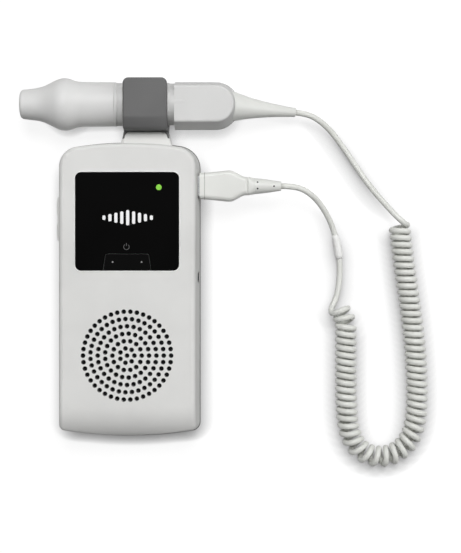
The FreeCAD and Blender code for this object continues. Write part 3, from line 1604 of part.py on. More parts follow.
class CurlyCord:
    """A left-handed coil round a flat, smooth axis, wider apart where the axis turns back."""

    STEPS = 4000

    def __init__(self):
        self.radius = float(dim.curl_radius)
        self.wire = float(dim.cord_radius)
        self.height = self.radius + self.wire + float(dim.floor_gap)
        poles = [on_route((x, along, self.height)) for x, along in COIL_AXIS]
        spans = len(poles) - 2
        self.axis = Part.BSplineCurve()
        repeats = [3] + [1] * (spans - 1) + [3]
        self.axis.buildFromPolesMultsKnots(poles, repeats, list(range(spans + 1)), False, 2)
        self.measure(spans)

    def pitch(self, knot):
        """Spacing of the curls at a place of the axis, which keeps their spacing inside a bend."""
        reading = float(dim.bend_reading)
        reach = reading / self.axis.getD1(knot)[1].Length
        first = max(self.knots[0], knot - reach)
        last = min(self.knots[-1], knot + reach)
        turned_by = self.axis.tangent(first)[0].getAngle(self.axis.tangent(last)[0])
        bend = turned_by / (self.axis.value(last) - self.axis.value(first)).Length
        return float(dim.curl_pitch) / (1 - bend * self.radius)

    def measure(self, spans):
        """Add up the turning along the axis and stretch it to end at the wanted angle."""
        self.knots = [spans * step / self.STEPS for step in range(self.STEPS + 1)]
        turning = [0.0]
        last = self.axis.value(self.knots[0])
        for knot in self.knots[1:]:
            point = self.axis.value(knot)
            turning.append(turning[-1] + 2 * math.pi * (point - last).Length / self.pitch(knot))
            last = point
        start = math.radians(float(dim.curl_start_angle))
        rest = math.radians(float(dim.curl_end_angle)) - start
        turns = round((turning[-1] - rest) / (2 * math.pi))
        self.total = 2 * math.pi * turns + rest
        self.turns = turns
        self.phases = [start + angle * self.total / turning[-1] for angle in turning]

    def at(self, phase):
        """The point of the cord's middle line at an angle of the winding."""
        low, high = 0, self.STEPS
        while high - low > 1:
            half = (low + high) // 2
            if self.phases[half] <= phase:
                low = half
            else:
                high = half
        share = (phase - self.phases[low]) / (self.phases[high] - self.phases[low])
        knot = self.knots[low] + share * (self.knots[high] - self.knots[low])
        knot = min(max(knot, self.knots[0]), self.knots[-1])
        way = self.axis.tangent(knot)[0]
        side = Vector(0, 0, 1).cross(way)
        outward = Vector(0, 0, math.cos(phase)) + side * math.sin(phase)
        return self.axis.value(knot) + outward * self.radius

    def way(self, phase):
        """The cord's own direction at an angle of the winding."""
        first, last = self.phases[0], self.phases[-1]
        before = self.at(max(first, phase - ANGLE_STEP))
        after = self.at(min(last, phase + ANGLE_STEP))
        return (after - before).normalize()

    def edges(self):
        """Both straight ends, and biarcs of half a turn between them."""
        first, last = self.phases[0], self.phases[-1]
        count = math.ceil(self.total / math.pi)
        stops = [first + self.total * index / count for index in range(count + 1)]
        begin = on_route(PROBE_LEAD[-1])
        finish = on_route(PLUG_LEAD[0])
        enter_way = (begin - on_route(PROBE_LEAD[-2])).normalize()
        leave_way = (on_route(PLUG_LEAD[1]) - finish).normalize()
        enter = begin + enter_way * 2 * self.wire
        leave = finish - leave_way * 2 * self.wire
        chain = [Part.LineSegment(begin, enter).toShape()]
        chain += biarc(enter, enter_way, self.at(first), self.way(first))
        for start, stop in zip(stops, stops[1:]):
            chain += biarc(self.at(start), self.way(start), self.at(stop), self.way(stop))
        chain += biarc(self.at(last), self.way(last), leave, leave_way)
        chain.append(Part.LineSegment(leave, finish).toShape())
        return chain


def least_gap(path, radius, per_edge=6):
    """The smallest space between a tube and itself, measured on points along its middle line."""
    spots = []
    run = 0.0
    for edge in path.Edges:
        step = edge.Length / per_edge
        for index in range(per_edge):
            spots.append((run + step * index, edge.valueAt(edge.getParameterByLength(step * index))))
        run += edge.Length
    apart = 5 * radius
    least = run
    for index, (here, point) in enumerate(spots):
        for there, other in spots[index + 1 : index + 20 * per_edge]:
            if there - here > apart:
                least = min(least, (other - point).Length)
    return least - 2 * radius


def curly_cord():
    """The coiled middle of the cord, one unbroken tube."""
    cord = CurlyCord()
    edges = cord.edges()
    solid, path, share = curved_tube(edges, cord.wire)
    tightest = min(edge.Curve.Radius for edge in path.Edges if hasattr(edge.Curve, "Radius"))
    print("curly_cord turns", cord.turns, "length", round(path.Length, 1), "volume share", round(share, 4),
          "tightest", round(tightest, 2), "least gap", round(least_gap(path, cord.wire), 3))
    piece = doc.addObject("Part::Feature", "curly_cord")
    piece.Shape = solid
    keep(piece, "curly_cord")


def battery_springs():
    """A short cone spring at the flat end of each cell."""
    wire = float(dim.spring_wire_radius)
    room = float(dim.spring_room) - 2 * wire
    turns = int(float(dim.spring_turns))
    wide = float(dim.spring_radius)
    narrow = float(dim.spring_tip_radius)
    springs = []
    for side, y, ahead in ((-1, float(cells_bottom) + wire, 1), (1, float(cells_top) - wire, -1)):
        middle = Vector(side * float(cell_spread), y, float(cell_z))

        def at(phase):
            share = phase / (2 * math.pi * turns)
            radius = wide + (narrow - wide) * share
            return middle + Vector(radius * math.cos(phase), ahead * room * share, radius * math.sin(phase))

        def way(phase):
            return (at(phase + ANGLE_STEP) - at(phase - ANGLE_STEP)).normalize()

        stops = [math.pi * index for index in range(2 * turns + 1)]
        chain = []
        for start, stop in zip(stops, stops[1:]):
            chain += biarc(at(start), way(start), at(stop), way(stop))
        solid, path, share = curved_tube(chain, wire)
        print("battery_spring volume share", round(share, 4), "least gap", round(least_gap(path, wire), 3))
        springs.append(solid)
    piece = doc.addObject("Part::Feature", "battery_springs")
    piece.Shape = Part.makeCompound(springs)
    keep(piece, "battery_springs")


# Build, check and write


def build():
    """Make every piece of the doppler."""
    front_shell()
    case_form = rear_shell()
    battery_door(case_form)
    screws("case_screws", case_screw_spots(), dim.screw_radius, dim.screw_length,
           dim.screw_head_radius, dim.screw_head, dim.screw_seat_depth)
    window_and_key()
    main_board()
    loudspeaker()
    side_ports()
    rocker()
    batteries()
    battery_springs()
    probe_clip()
    probe_nose()
    transducer()
    probe_shells()
    boot("probe_boot", boot_base, boot_tip, dim.boot_base_radius, dim.boot_waist_radius, dim.boot_end_radius)
    plug()
    lead("probe_lead", PROBE_LEAD)
    curly_cord()
    sleeve(lead("plug_lead", plug_route))


def write():
    """Stop on any failed feature or bad shape, then write one file for each piece."""
    doc.recompute()
    failed = [item.Name for item in doc.Objects if "Invalid" in item.State or "Error" in item.State]
    if failed:
        raise RuntimeError(f"features failed: {failed}")
    for piece in nodes:
        shape = piece.Shape
        if shape.isNull() or not shape.isValid() or not shape.Solids:
            raise RuntimeError(f"bad shape: {piece.Label}")
    for piece in nodes:
        piece.Shape.exportStep(f"parts/{piece.Label}.step")
    print(len(nodes), "pieces")


build()
write()
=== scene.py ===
"""Handheld doppler: finishes, printed marks, small mouldings, the curly cord and a plain studio.

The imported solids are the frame. All pieces are in metres in that frame: the origin is the middle of the
unit's back face, +Z comes out of the front face and +Y points to the probe.
"""

import logging
import math
from dataclasses import dataclass
from enum import Enum
from typing import Any, Sequence

import bmesh
import bpy
from mathutils import Matrix, Vector
from mathutils.geometry import convex_hull_2d


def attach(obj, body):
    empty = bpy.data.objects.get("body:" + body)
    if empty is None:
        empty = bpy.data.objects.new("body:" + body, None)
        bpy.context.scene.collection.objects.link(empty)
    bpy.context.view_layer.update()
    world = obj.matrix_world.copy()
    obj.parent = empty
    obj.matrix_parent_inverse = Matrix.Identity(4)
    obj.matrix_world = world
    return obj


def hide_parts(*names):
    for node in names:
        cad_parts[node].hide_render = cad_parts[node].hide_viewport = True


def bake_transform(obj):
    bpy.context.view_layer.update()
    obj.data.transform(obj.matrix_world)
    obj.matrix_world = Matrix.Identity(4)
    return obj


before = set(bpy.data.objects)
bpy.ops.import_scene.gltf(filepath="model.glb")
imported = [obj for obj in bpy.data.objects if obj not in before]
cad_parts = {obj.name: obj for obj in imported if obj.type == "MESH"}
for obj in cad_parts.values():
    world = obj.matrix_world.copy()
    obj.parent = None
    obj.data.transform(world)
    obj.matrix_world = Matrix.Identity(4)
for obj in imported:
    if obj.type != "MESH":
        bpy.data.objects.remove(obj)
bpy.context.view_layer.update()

log = logging.getLogger("doppler")
MM = 0.001
UP = Vector((0.0, 0.0, 1.0))
ALONG_X = Vector((1.0, 0.0, 0.0))
# A spot on a plane and a spot in space.
Flat = tuple[float, float]
Point = tuple[float, float, float]
WHITE = "#FFFFFF"
# Sides of a thin round line, and how near in height two points count as level, in metres.
LINE_SIDES = 8
SAME_LEVEL = 1e-6
# A wave texture repeats every 0.31 of its unit, so this makes a thread about 1.26 grains wide.
WAVE_SHARE = 0.25
# Scratches are about 17 times as long as they are wide.
BRUSH_STRETCH = (0.06, 1.0, 1.0)
# Noise of the grain and of the slow drift, and where the drift leaves the one tone and reaches the other.
GRAIN_DETAIL = 2.0
GRAIN_ROUGHNESS = 0.6
DRIFT_DETAIL = 3.0
SHADE_UNTIL = 0.3
COLOUR_FROM = 0.6


class Body(Enum):
    """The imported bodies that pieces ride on."""

    UNIT = "main_unit"
    KEY = "power_key"
    ROCKER = "volume_rocker"
    PROBE = "probe"
    PLUG = "plug"


def mm(x: float, y: float, z: float) -> Vector:
    """A point given in millimetres."""
    return Vector((x, y, z)) * MM


def linear(code: str) -> tuple[float, float, float, float]:
    """Turn an sRGB hex colour into a linear one.

    Args:
        code: A hash sign and six hex digits.

    Returns:
        Red, green, blue and a full alpha.
    """
    channels = [int(code[start : start + 2], 16) / 255 for start in (1, 3, 5)]
    red, green, blue = [c / 12.92 if c <= 0.04045 else ((c + 0.055) / 1.055) ** 2.4 for c in channels]
    return red, green, blue, 1.0


def add_node(
    tree: bpy.types.NodeTree, kind: str, inputs: dict[Any, Any] | None = None, **settings: Any
) -> bpy.types.Node:
    """Add a node to a tree, set its properties, and fill or link its inputs.

    Args:
        tree: The shader or geometry tree.
        kind: The node's type name.
        inputs: Values or output sockets, by input name or number.
        **settings: Properties of the node itself.

    Returns:
        The new node.
    """
    made = tree.nodes.new(kind)
    for name, value in settings.items():
        setattr(made, name, value)
    for name, value in (inputs or {}).items():
        if isinstance(value, bpy.types.NodeSocket):
            tree.links.new(value, made.inputs[name])
        else:
            made.inputs[name].default_value = value
    return made


class Grain(Enum):
    """How a process left a surface, which picks the pattern of its relief."""

    SPARKED = "sparked mould"
    POLISHED = "polished mould"
    BRUSHED = "drawn or ground metal"
    WOVEN = "woven cloth"


@dataclass(frozen=True)
class Finish:
    """A surface: what it is made of and how it was made.

    Attributes:
        name: The material's common name and its process.
        colour: Main colour, as an sRGB hex value.
        shade: Darker tone that drifts through the colour.
        roughness: Mean roughness.
        grain: How the surface was made.
        grain_mm: Width of one grain, thread or scratch.
        relief_mm: Height of the grain.
        drift_mm: Width of the slow drift between the two tones.
        spread: How far the roughness strays from its mean.
        ior: Index of refraction; a metal keeps the default.
        metallic: 1 for bare metal.
        glow: Strength of the light that a lit lamp gives.
    """

    name: str
    colour: str
    shade: str
    roughness: float
    grain: Grain
    grain_mm: float
    relief_mm: float
    drift_mm: float = 30.0
    spread: float = 0.05
    ior: float = 1.5
    metallic: float = 0.0
    glow: float = 0.0

    def height(self, tree: bpy.types.NodeTree, place: bpy.types.NodeSocket) -> bpy.types.NodeSocket:
        """The relief of the surface, from 0 to 1.

        Args:
            tree: The material's nodes.
            place: Object coordinates.

        Returns:
            The socket that gives the height.
        """
        per_metre = 1.0 / (self.grain_mm * MM)
        if self.grain is Grain.WOVEN:
            bands = {"Vector": place, "Scale": per_metre * WAVE_SHARE}
            warp, weft = [
                add_node(tree, "ShaderNodeTexWave", bands, bands_direction=way).outputs["Fac"] for way in "XY"
            ]
            return add_node(tree, "ShaderNodeMath", {0: warp, 1: weft}, operation="MAXIMUM").outputs[0]
        if self.grain is Grain.BRUSHED:
            stretched = add_node(tree, "ShaderNodeMapping", {"Vector": place, "Scale": BRUSH_STRETCH})
            place = stretched.outputs["Vector"]
        drawn = {"Vector": place, "Scale": per_metre, "Detail": GRAIN_DETAIL, "Roughness": GRAIN_ROUGHNESS}
        return add_node(tree, "ShaderNodeTexNoise", drawn).outputs["Fac"]

    def material(self) -> bpy.types.Material:
        """The finish as a node material, made once.

        Returns:
            The material.
        """
        known = bpy.data.materials.get(self.name)
        if known:
            return known
        made = bpy.data.materials.new(self.name)
        made.use_nodes = True
        tree = made.node_tree
        shader = tree.nodes["Principled BSDF"]
        place = add_node(tree, "ShaderNodeTexCoord").outputs["Object"]
        drift = add_node(
            tree,
            "ShaderNodeTexNoise",
            {"Vector": place, "Scale": 1.0 / (self.drift_mm * MM), "Detail": DRIFT_DETAIL},
        )
        tones = add_node(tree, "ShaderNodeValToRGB", {"Fac": drift.outputs["Fac"]})
        tones.color_ramp.elements[0].position = SHADE_UNTIL
        tones.color_ramp.elements[0].color = linear(self.shade)
        tones.color_ramp.elements[1].position = COLOUR_FROM
        tones.color_ramp.elements[1].color = linear(self.colour)
        height = self.height(tree, place)
        gloss = add_node(
            tree,
            "ShaderNodeMapRange",
            {
                "Value": height,
                "To Min": max(0.0, self.roughness - self.spread),
                "To Max": min(1.0, self.roughness + self.spread),
            },
        )
        bump = add_node(tree, "ShaderNodeBump", {"Height": height, "Distance": self.relief_mm * MM})
        tree.links.new(tones.outputs["Color"], shader.inputs["Base Color"])
        tree.links.new(gloss.outputs["Result"], shader.inputs["Roughness"])
        tree.links.new(bump.outputs["Normal"], shader.inputs["Normal"])
        shader.inputs["Metallic"].default_value = self.metallic
        shader.inputs["IOR"].default_value = self.ior
        if self.glow:
            shader.inputs["Emission Color"].default_value = linear(self.colour)
            shader.inputs["Emission Strength"].default_value = self.glow
        return made


# Case and probe: ABS from a spark-eroded mould, so gloss is broken up and edges catch a soft light.
# The grit of such a mould is about 0.05 mm; it is drawn coarser, or it wouldn't show.
CASE_ABS = Finish("abs_sparked_white", "#DEDEDC", "#D8D8D6", 0.62, Grain.SPARKED, 0.45, 0.02, ior=1.45)
NOSE_ABS = Finish("abs_satin_white", "#E0E0DF", "#DADAD9", 0.48, Grain.SPARKED, 0.30, 0.01, ior=1.45)
PROBE_ABS = Finish("abs_satin_pale", "#D4D4D3", "#CECECD", 0.50, Grain.SPARKED, 0.30, 0.01, ior=1.45)
CLIP_ABS = Finish("abs_sparked_grey", "#5C5C5C", "#565656", 0.55, Grain.SPARKED, 0.40, 0.02, ior=1.53)
DARK_ABS = Finish("abs_moulded_black", "#1A1A1B", "#131314", 0.45, Grain.SPARKED, 0.40, 0.01, ior=1.53)
# The bead round the window is polished in the mould and coloured lighter than the case, a painted highlight,
# so it shows as a fine bright line.
LIP_HIGHLIGHT_ABS = Finish("abs_white_painted_highlight", "#F2F2F0", "#ECECEA", 0.25, Grain.POLISHED, 1.0, 0.005, ior=1.53)
# Window: acrylic sheet printed black behind, so the front is a clean mirror with a little waviness.
WINDOW_ACRYLIC = Finish(
    "acrylic_black_back_print", "#050505", "#030303", 0.06, Grain.POLISHED, 9.0, 0.002, spread=0.02, ior=1.38
)
# Key: glossy black ABS, a touch less even than the window, with a lighter line round its edge as a painted
# highlight.
KEY_ABS = Finish(
    "abs_glossy_black", "#080808", "#050505", 0.10, Grain.POLISHED, 3.0, 0.002, spread=0.03, ior=1.40
)
KEY_EDGE_HIGHLIGHT_ABS = Finish("abs_black_painted_edge_highlight", "#2C2C2C", "#202020", 0.40, Grain.SPARKED, 0.35, 0.01, 2.0)
# Cord: soft PVC, a little yellow-green, with a waxy sheen and fine flow marks from the extruder.
CORD_PVC = Finish("pvc_extruded_grey", "#E4E5E0", "#DADBD5", 0.40, Grain.POLISHED, 1.6, 0.03, 12.0, ior=1.53)
PLUG_PVC = Finish("pvc_moulded_white", "#E2E3DF", "#DADBD7", 0.40, Grain.SPARKED, 0.5, 0.02, ior=1.53)
SLEEVE_PVC = Finish("shrink_sleeve_white", "#F4F4F2", "#EDEDEB", 0.35, Grain.POLISHED, 1.2, 0.02)
# Marks: printed ink, matt and slightly raised.
WHITE_INK = Finish("ink_screen_printed_white", "#F4F4F4", "#EDEDED", 0.55, Grain.SPARKED, 0.2, 0.004)
GREY_INK = Finish("ink_pad_printed_grey", "#8E8E8E", "#848484", 0.55, Grain.SPARKED, 0.2, 0.004)
DIM_INK = Finish("ink_screen_printed_dim", "#474747", "#404040", 0.55, Grain.SPARKED, 0.2, 0.004)
# Lamp: a clear lens over a lit green chip, so it glows a little and its tone is uneven.
LAMP_GREEN = Finish(
    "lamp_lens_lit_green", "#86C64A", "#63AE35", 0.15, Grain.POLISHED, 1.0, 0.01, 1.5, glow=0.35
)
# Painted shade: grey and black marks where grooves, seams, recesses and holes lie in shade.
GROOVE_GREY = Finish("pvc_shaded_groove", "#A9AAA6", "#9C9D99", 0.7, Grain.SPARKED, 0.4, 0.01)
SEAM_DARK = Finish("abs_shaded_gap", "#5C5C5A", "#525250", 0.8, Grain.SPARKED, 0.4, 0.01)
HOLE_DARK = Finish("painted_shade_black", "#0A0A0A", "#060606", 0.9, Grain.WOVEN, 0.35, 0.02)
# Boards: green lacquer over glass weave, which shows through as a fine check.
BOARD_LACQUER = Finish("fibreglass_lacquered_green", "#1F5A3A", "#184A30", 0.3, Grain.WOVEN, 0.5, 0.01)
# Metals: drawn wire and stamped strip, so highlights are streaked along the grain.
STEEL_PLATED = Finish(
    "steel_zinc_plated", "#B9BABB", "#A4A6A8", 0.28, Grain.BRUSHED, 0.15, 0.004, 4.0, metallic=1.0
)
BRASS_GOLD = Finish(
    "brass_gold_plated", "#D2A24C", "#BE8F3E", 0.25, Grain.BRUSHED, 0.1, 0.003, 3.0, metallic=1.0
)
# Loudspeaker: cloth with threads that show behind the holes, and a matt paper cone with loose fibres.
CLOTH_BLACK = Finish("polyester_woven_black", "#161617", "#0E0E0F", 0.85, Grain.WOVEN, 0.35, 0.05)
PAPER_CONE = Finish("paper_pressed_black", "#222221", "#191918", 0.8, Grain.SPARKED, 0.6, 0.04)
# Cells: a tight glossy film with faint waves.
CELL_FILM = Finish("film_shrunk_dark", "#2B2E33", "#22252A", 0.25, Grain.POLISHED, 3.0, 0.01)
# Transducer: a cast lens with a soft gloss, and dull fired crystals.
LENS_EPOXY = Finish("epoxy_cast_grey", "#B9BAB8", "#AEB0AE", 0.30, Grain.POLISHED, 2.0, 0.01)
CERAMIC = Finish("ceramic_fired_tan", "#C9BFA8", "#BCB199", 0.6, Grain.SPARKED, 0.3, 0.01)


def add_piece(
    name: str, mesh: bpy.types.Mesh, finish: Finish, body: Body | None = None
) -> bpy.types.Object:
    """Link a finished mesh as a piece of the object.

    Args:
        name: The piece's name.
        mesh: Its mesh, with its place in its points.
        finish: Its surface.
        body: The body that it rides on, or nothing for a piece that rides on no body.

    Returns:
        The piece.
    """
    mesh.name = name
    mesh.materials.clear()
    mesh.materials.append(finish.material())
    piece = bpy.data.objects.new(name, mesh)
    bpy.context.scene.collection.objects.link(piece)
    if body:
        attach(piece, body.value)
    log.info("%s has %d faces", name, len(mesh.polygons))
    return piece


def dress(finish: Finish, *names: str) -> None:
    """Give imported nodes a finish.

    Args:
        finish: The surface.
        *names: The nodes.
    """
    for name in names:
        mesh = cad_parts[name].data
        mesh.materials.clear()
        mesh.materials.append(finish.material())
        log.info("%s is dressed in %s", name, finish.name)


def nurbs_points(points: Sequence[Vector], steps: int) -> list[Vector]:
    """Read points along a smooth line.

    Args:
        points: The line's control points.
        steps: Points to read for each control point.

    Returns:
        The points of a quadratic NURBS line from the first control point to the last.
    """
    curve = bpy.data.curves.new("route", "CURVE")
    curve.dimensions = "3D"
    curve.resolution_u = steps
    spline = curve.splines.new("NURBS")
    spline.points.add(len(points) - 1)
    for control, point in zip(spline.points, points):
        control.co = (*point, 1.0)
    spline.order_u = 3
    spline.use_endpoint_u = True
    holder = bpy.data.objects.new("route", curve)
    bpy.context.scene.collection.objects.link(holder)
    mesh = bpy.data.meshes.new_from_object(holder)
    line = [vertex.co.copy() for vertex in mesh.vertices]
    bpy.data.objects.remove(holder)
    bpy.data.curves.remove(curve)
    bpy.data.meshes.remove(mesh)
    return line


def run_length(line: Sequence[Vector]) -> float:
    """Length of a line of points, in metres."""
    return sum((after - before).length for before, after in zip(line, line[1:]))


def round_steps(sides: int) -> list[Flat]:
    """Cosine and sine of each step of a full turn."""
    angles = [2 * math.pi * step / sides for step in range(sides)]
    return [(math.cos(angle), math.sin(angle)) for angle in angles]


def rings_along(
    line: Sequence[Vector], radii: Sequence[float], sides: int, closed: bool = False
) -> list[list[Vector]]:
    """Rings of points round a line, turned as little as possible from one to the next.

    Args:
        line: The middle line.
        radii: The ring's radius at each of its points.
        sides: Points in a ring.
        closed: True for a line that runs back to its start.

    Returns:
        One list of points for each point of the line.
    """
    rings = []
    last = len(line) - 1
    across: Vector | None = None
    for index, point in enumerate(line):
        ahead = line[(index + 1) % len(line)] if closed else line[min(index + 1, last)]
        behind = line[index - 1] if closed else line[max(index - 1, 0)]
        way = (ahead - behind).normalized()
        guide = across if across is not None else way.orthogonal()
        across = (guide - way * guide.dot(way)).normalized()
        beside = way.cross(across)
        rings.append([point + (across * x + beside * y) * radii[index] for x, y in round_steps(sides)])
    return rings


def skin(name: str, rings: Sequence[Sequence[Vector]], closed: bool = False) -> bpy.types.Mesh:
    """Close a row of rings into a smooth tube.

    Args:
        name: The mesh's name.
        rings: Rings with the same number of points.
        closed: True to join the last ring to the first, else both ends are flat.

    Returns:
        The mesh, with its faces outwards.
    """
    sides = len(rings[0])
    points = [point for ring in rings for point in ring]
    faces = []
    for row in range(len(rings) if closed else len(rings) - 1):
        for step in range(sides):
            following = (step + 1) % sides
            here, there = row * sides, (row + 1) % len(rings) * sides
            faces.append((here + step, here + following, there + following, there + step))
    walls = len(faces)
    if not closed:
        faces.append(tuple(reversed(range(sides))))
        faces.append(tuple(range(len(points) - sides, len(points))))
    mesh = bpy.data.meshes.new(name)
    mesh.from_pydata(points, [], faces)
    mesh.polygons.foreach_set("use_smooth", [index < walls for index in range(len(faces))])
    mesh.update()
    return mesh


def instance_tree(name: str, model: bpy.types.Object, finish: Finish) -> bpy.types.NodeTree:
    """A geometry tree that puts a model on every point of a mesh.

    Args:
        name: The tree's name.
        model: The object to repeat.
        finish: The surface of the copies.

    Returns:
        The tree, with a scale among its inputs.
    """
    tree = bpy.data.node_groups.new(name, "GeometryNodeTree")
    tree.interface.new_socket("Geometry", in_out="INPUT", socket_type="NodeSocketGeometry")
    tree.interface.new_socket("Scale", in_out="INPUT", socket_type="NodeSocketFloat")
    tree.interface.new_socket("Geometry", in_out="OUTPUT", socket_type="NodeSocketGeometry")
    given = add_node(tree, "NodeGroupInput")
    source = add_node(tree, "GeometryNodeObjectInfo", {"Object": model})
    copies = add_node(
        tree,
        "GeometryNodeInstanceOnPoints",
        {
            "Points": given.outputs["Geometry"],
            "Instance": source.outputs["Geometry"],
            "Scale": given.outputs["Scale"],
        },
    )
    solid = add_node(tree, "GeometryNodeRealizeInstances", {"Geometry": copies.outputs["Instances"]})
    dressed = add_node(
        tree,
        "GeometryNodeSetMaterial",
        {"Geometry": solid.outputs["Geometry"], "Material": finish.material()},
    )
    add_node(tree, "NodeGroupOutput", {"Geometry": dressed.outputs["Geometry"]})
    return tree


def repeated(
    name: str, model_mesh: bpy.types.Mesh, places: Sequence[Vector], finish: Finish
) -> bpy.types.Mesh:
    """Repeat a small mesh at many places.

    Args:
        name: The new mesh's name.
        model_mesh: The mesh to repeat, round its own origin.
        places: Where the copies go.
        finish: Their surface.

    Returns:
        One mesh with all the copies.
    """
    model = bpy.data.objects.new(f"{name}_model", model_mesh)
    dots = bpy.data.meshes.new(f"{name}_places")
    dots.from_pydata(list(places), [], [])
    holder = bpy.data.objects.new(f"{name}_holder", dots)
    for item in (model, holder):
        bpy.context.scene.collection.objects.link(item)
    spread = holder.modifiers.new("spread", "NODES")
    spread.node_group = instance_tree(f"{name}_tree", model, finish)
    for socket in spread.node_group.interface.items_tree:
        if socket.in_out == "INPUT" and socket.name == "Scale":
            spread[socket.identifier] = 1.0
    graph = bpy.context.evaluated_depsgraph_get()
    result = bpy.data.meshes.new_from_object(holder.evaluated_get(graph))
    holder.modifiers.remove(spread)
    bpy.data.objects.remove(holder)
    bpy.data.objects.remove(model)
    return result


def prism(name: str, outline: Sequence[Flat], low_mm: float, high_mm: float) -> bpy.types.Mesh:
    """A flat plate with upright sides.

    Args:
        name: The mesh's name.
        outline: Its corners, against the clock, in millimetres.
        low_mm: Height of its underside.
        high_mm: Height of its top.

    Returns:
        The mesh.
    """
    count = len(outline)
    points = [mm(x, y, low_mm) for x, y in outline] + [mm(x, y, high_mm) for x, y in outline]
    faces = [tuple(reversed(range(count))), tuple(range(count, 2 * count))]
    for index in range(count):
        following = (index + 1) % count
        faces.append((index, following, count + following, count + index))
    mesh = bpy.data.meshes.new(name)
    mesh.from_pydata(points, [], faces)
    mesh.update()
    return mesh


def joined(name: str, meshes: Sequence[bpy.types.Mesh]) -> bpy.types.Mesh:
    """Put several meshes into one.

    Args:
        name: The new mesh's name.
        meshes: The meshes, each with its place in its points.

    Returns:
        The new mesh.
    """
    bucket = bmesh.new()
    for mesh in meshes:
        bucket.from_mesh(mesh)
    result = bpy.data.meshes.new(name)
    bucket.to_mesh(result)
    bucket.free()
    return result


def softened(corners: Sequence[Flat], radius: float, steps: int = 8) -> list[Flat]:
    """Round the corners of an outline.

    Args:
        corners: The sharp corners, against the clock, in millimetres.
        radius: Radius at every corner.
        steps: Pieces of each round.

    Returns:
        The outline's points.
    """
    outline = []
    for index, corner in enumerate(corners):
        here = Vector(corner)
        back = (Vector(corners[index - 1]) - here).normalized()
        onward = (Vector(corners[(index + 1) % len(corners)]) - here).normalized()
        half = back.angle(onward) / 2
        middle = here + (back + onward).normalized() * radius / math.sin(half)
        start = here + back * radius / math.tan(half)
        stop = here + onward * radius / math.tan(half)
        for step in range(steps + 1):
            way = start.lerp(stop, step / steps) - middle
            outline.append(tuple(middle + way.normalized() * radius))
    return outline


def box_corners(middle: Flat, width: float, length: float) -> list[Flat]:
    """Corners of a rectangle, against the clock."""
    x, y = width / 2, length / 2
    return [(middle[0] + across, middle[1] + along) for across, along in ((-x, -y), (x, -y), (x, y), (-x, y))]


def arc(middle: Flat, radius: float, start: float, stop: float, steps: int = 24) -> list[Flat]:
    """Points along an arc, its angles in degrees."""
    angles = [math.radians(start + (stop - start) * step / steps) for step in range(steps + 1)]
    return [(middle[0] + radius * math.cos(angle), middle[1] + radius * math.sin(angle)) for angle in angles]


def turned(name: str, profile: Sequence[Flat], sides: int, place: Vector, axis: Vector) -> bpy.types.Mesh:
    """Turn a closed profile into a ring.

    Args:
        name: The mesh's name.
        profile: Distances along the axis and radii: out along the outside, back along the inside.
        sides: Faces round the ring.
        place: The point that distances are measured from.
        axis: The ring's axis.

    Returns:
        The mesh.
    """
    across = axis.orthogonal().normalized()
    beside = axis.cross(across)
    ways = [across * x + beside * y for x, y in round_steps(sides)]
    rings = [[place + (axis * along + way * radius) * MM for way in ways] for along, radius in profile]
    return skin(name, rings, True)


def line_piece(
    name: str, points: Sequence[Vector], radius_mm: float, finish: Finish, body: Body, closed: bool
) -> bpy.types.Object:
    """A thin round line along points: a seam, a lip or an edge.

    Args:
        name: The piece's name.
        points: The line, in metres.
        radius_mm: Half its width.
        finish: Its surface.
        body: The body that it rides on.
        closed: True for a line that runs back to its start.

    Returns:
        The piece.
    """
    rings = rings_along(points, [radius_mm * MM] * len(points), LINE_SIDES, closed)
    return add_piece(name, skin(name, rings, closed), finish, body)


def section_at(node: str, height_mm: float, top_mm: float) -> list[Vector]:
    """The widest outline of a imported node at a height, against the clock.

    Args:
        node: The node's name.
        height_mm: Height of the plane that holds the outline.
        top_mm: Points further up the unit than this are left out.

    Returns:
        The outline's points.
    """
    level = height_mm * MM
    spots = [vertex.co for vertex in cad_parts[node].data.vertices]
    flat = [spot.to_2d() for spot in spots if abs(spot.z - level) < SAME_LEVEL and spot.y < top_mm * MM]
    return [flat[index].to_3d() + UP * level for index in convex_hull_2d(flat)]


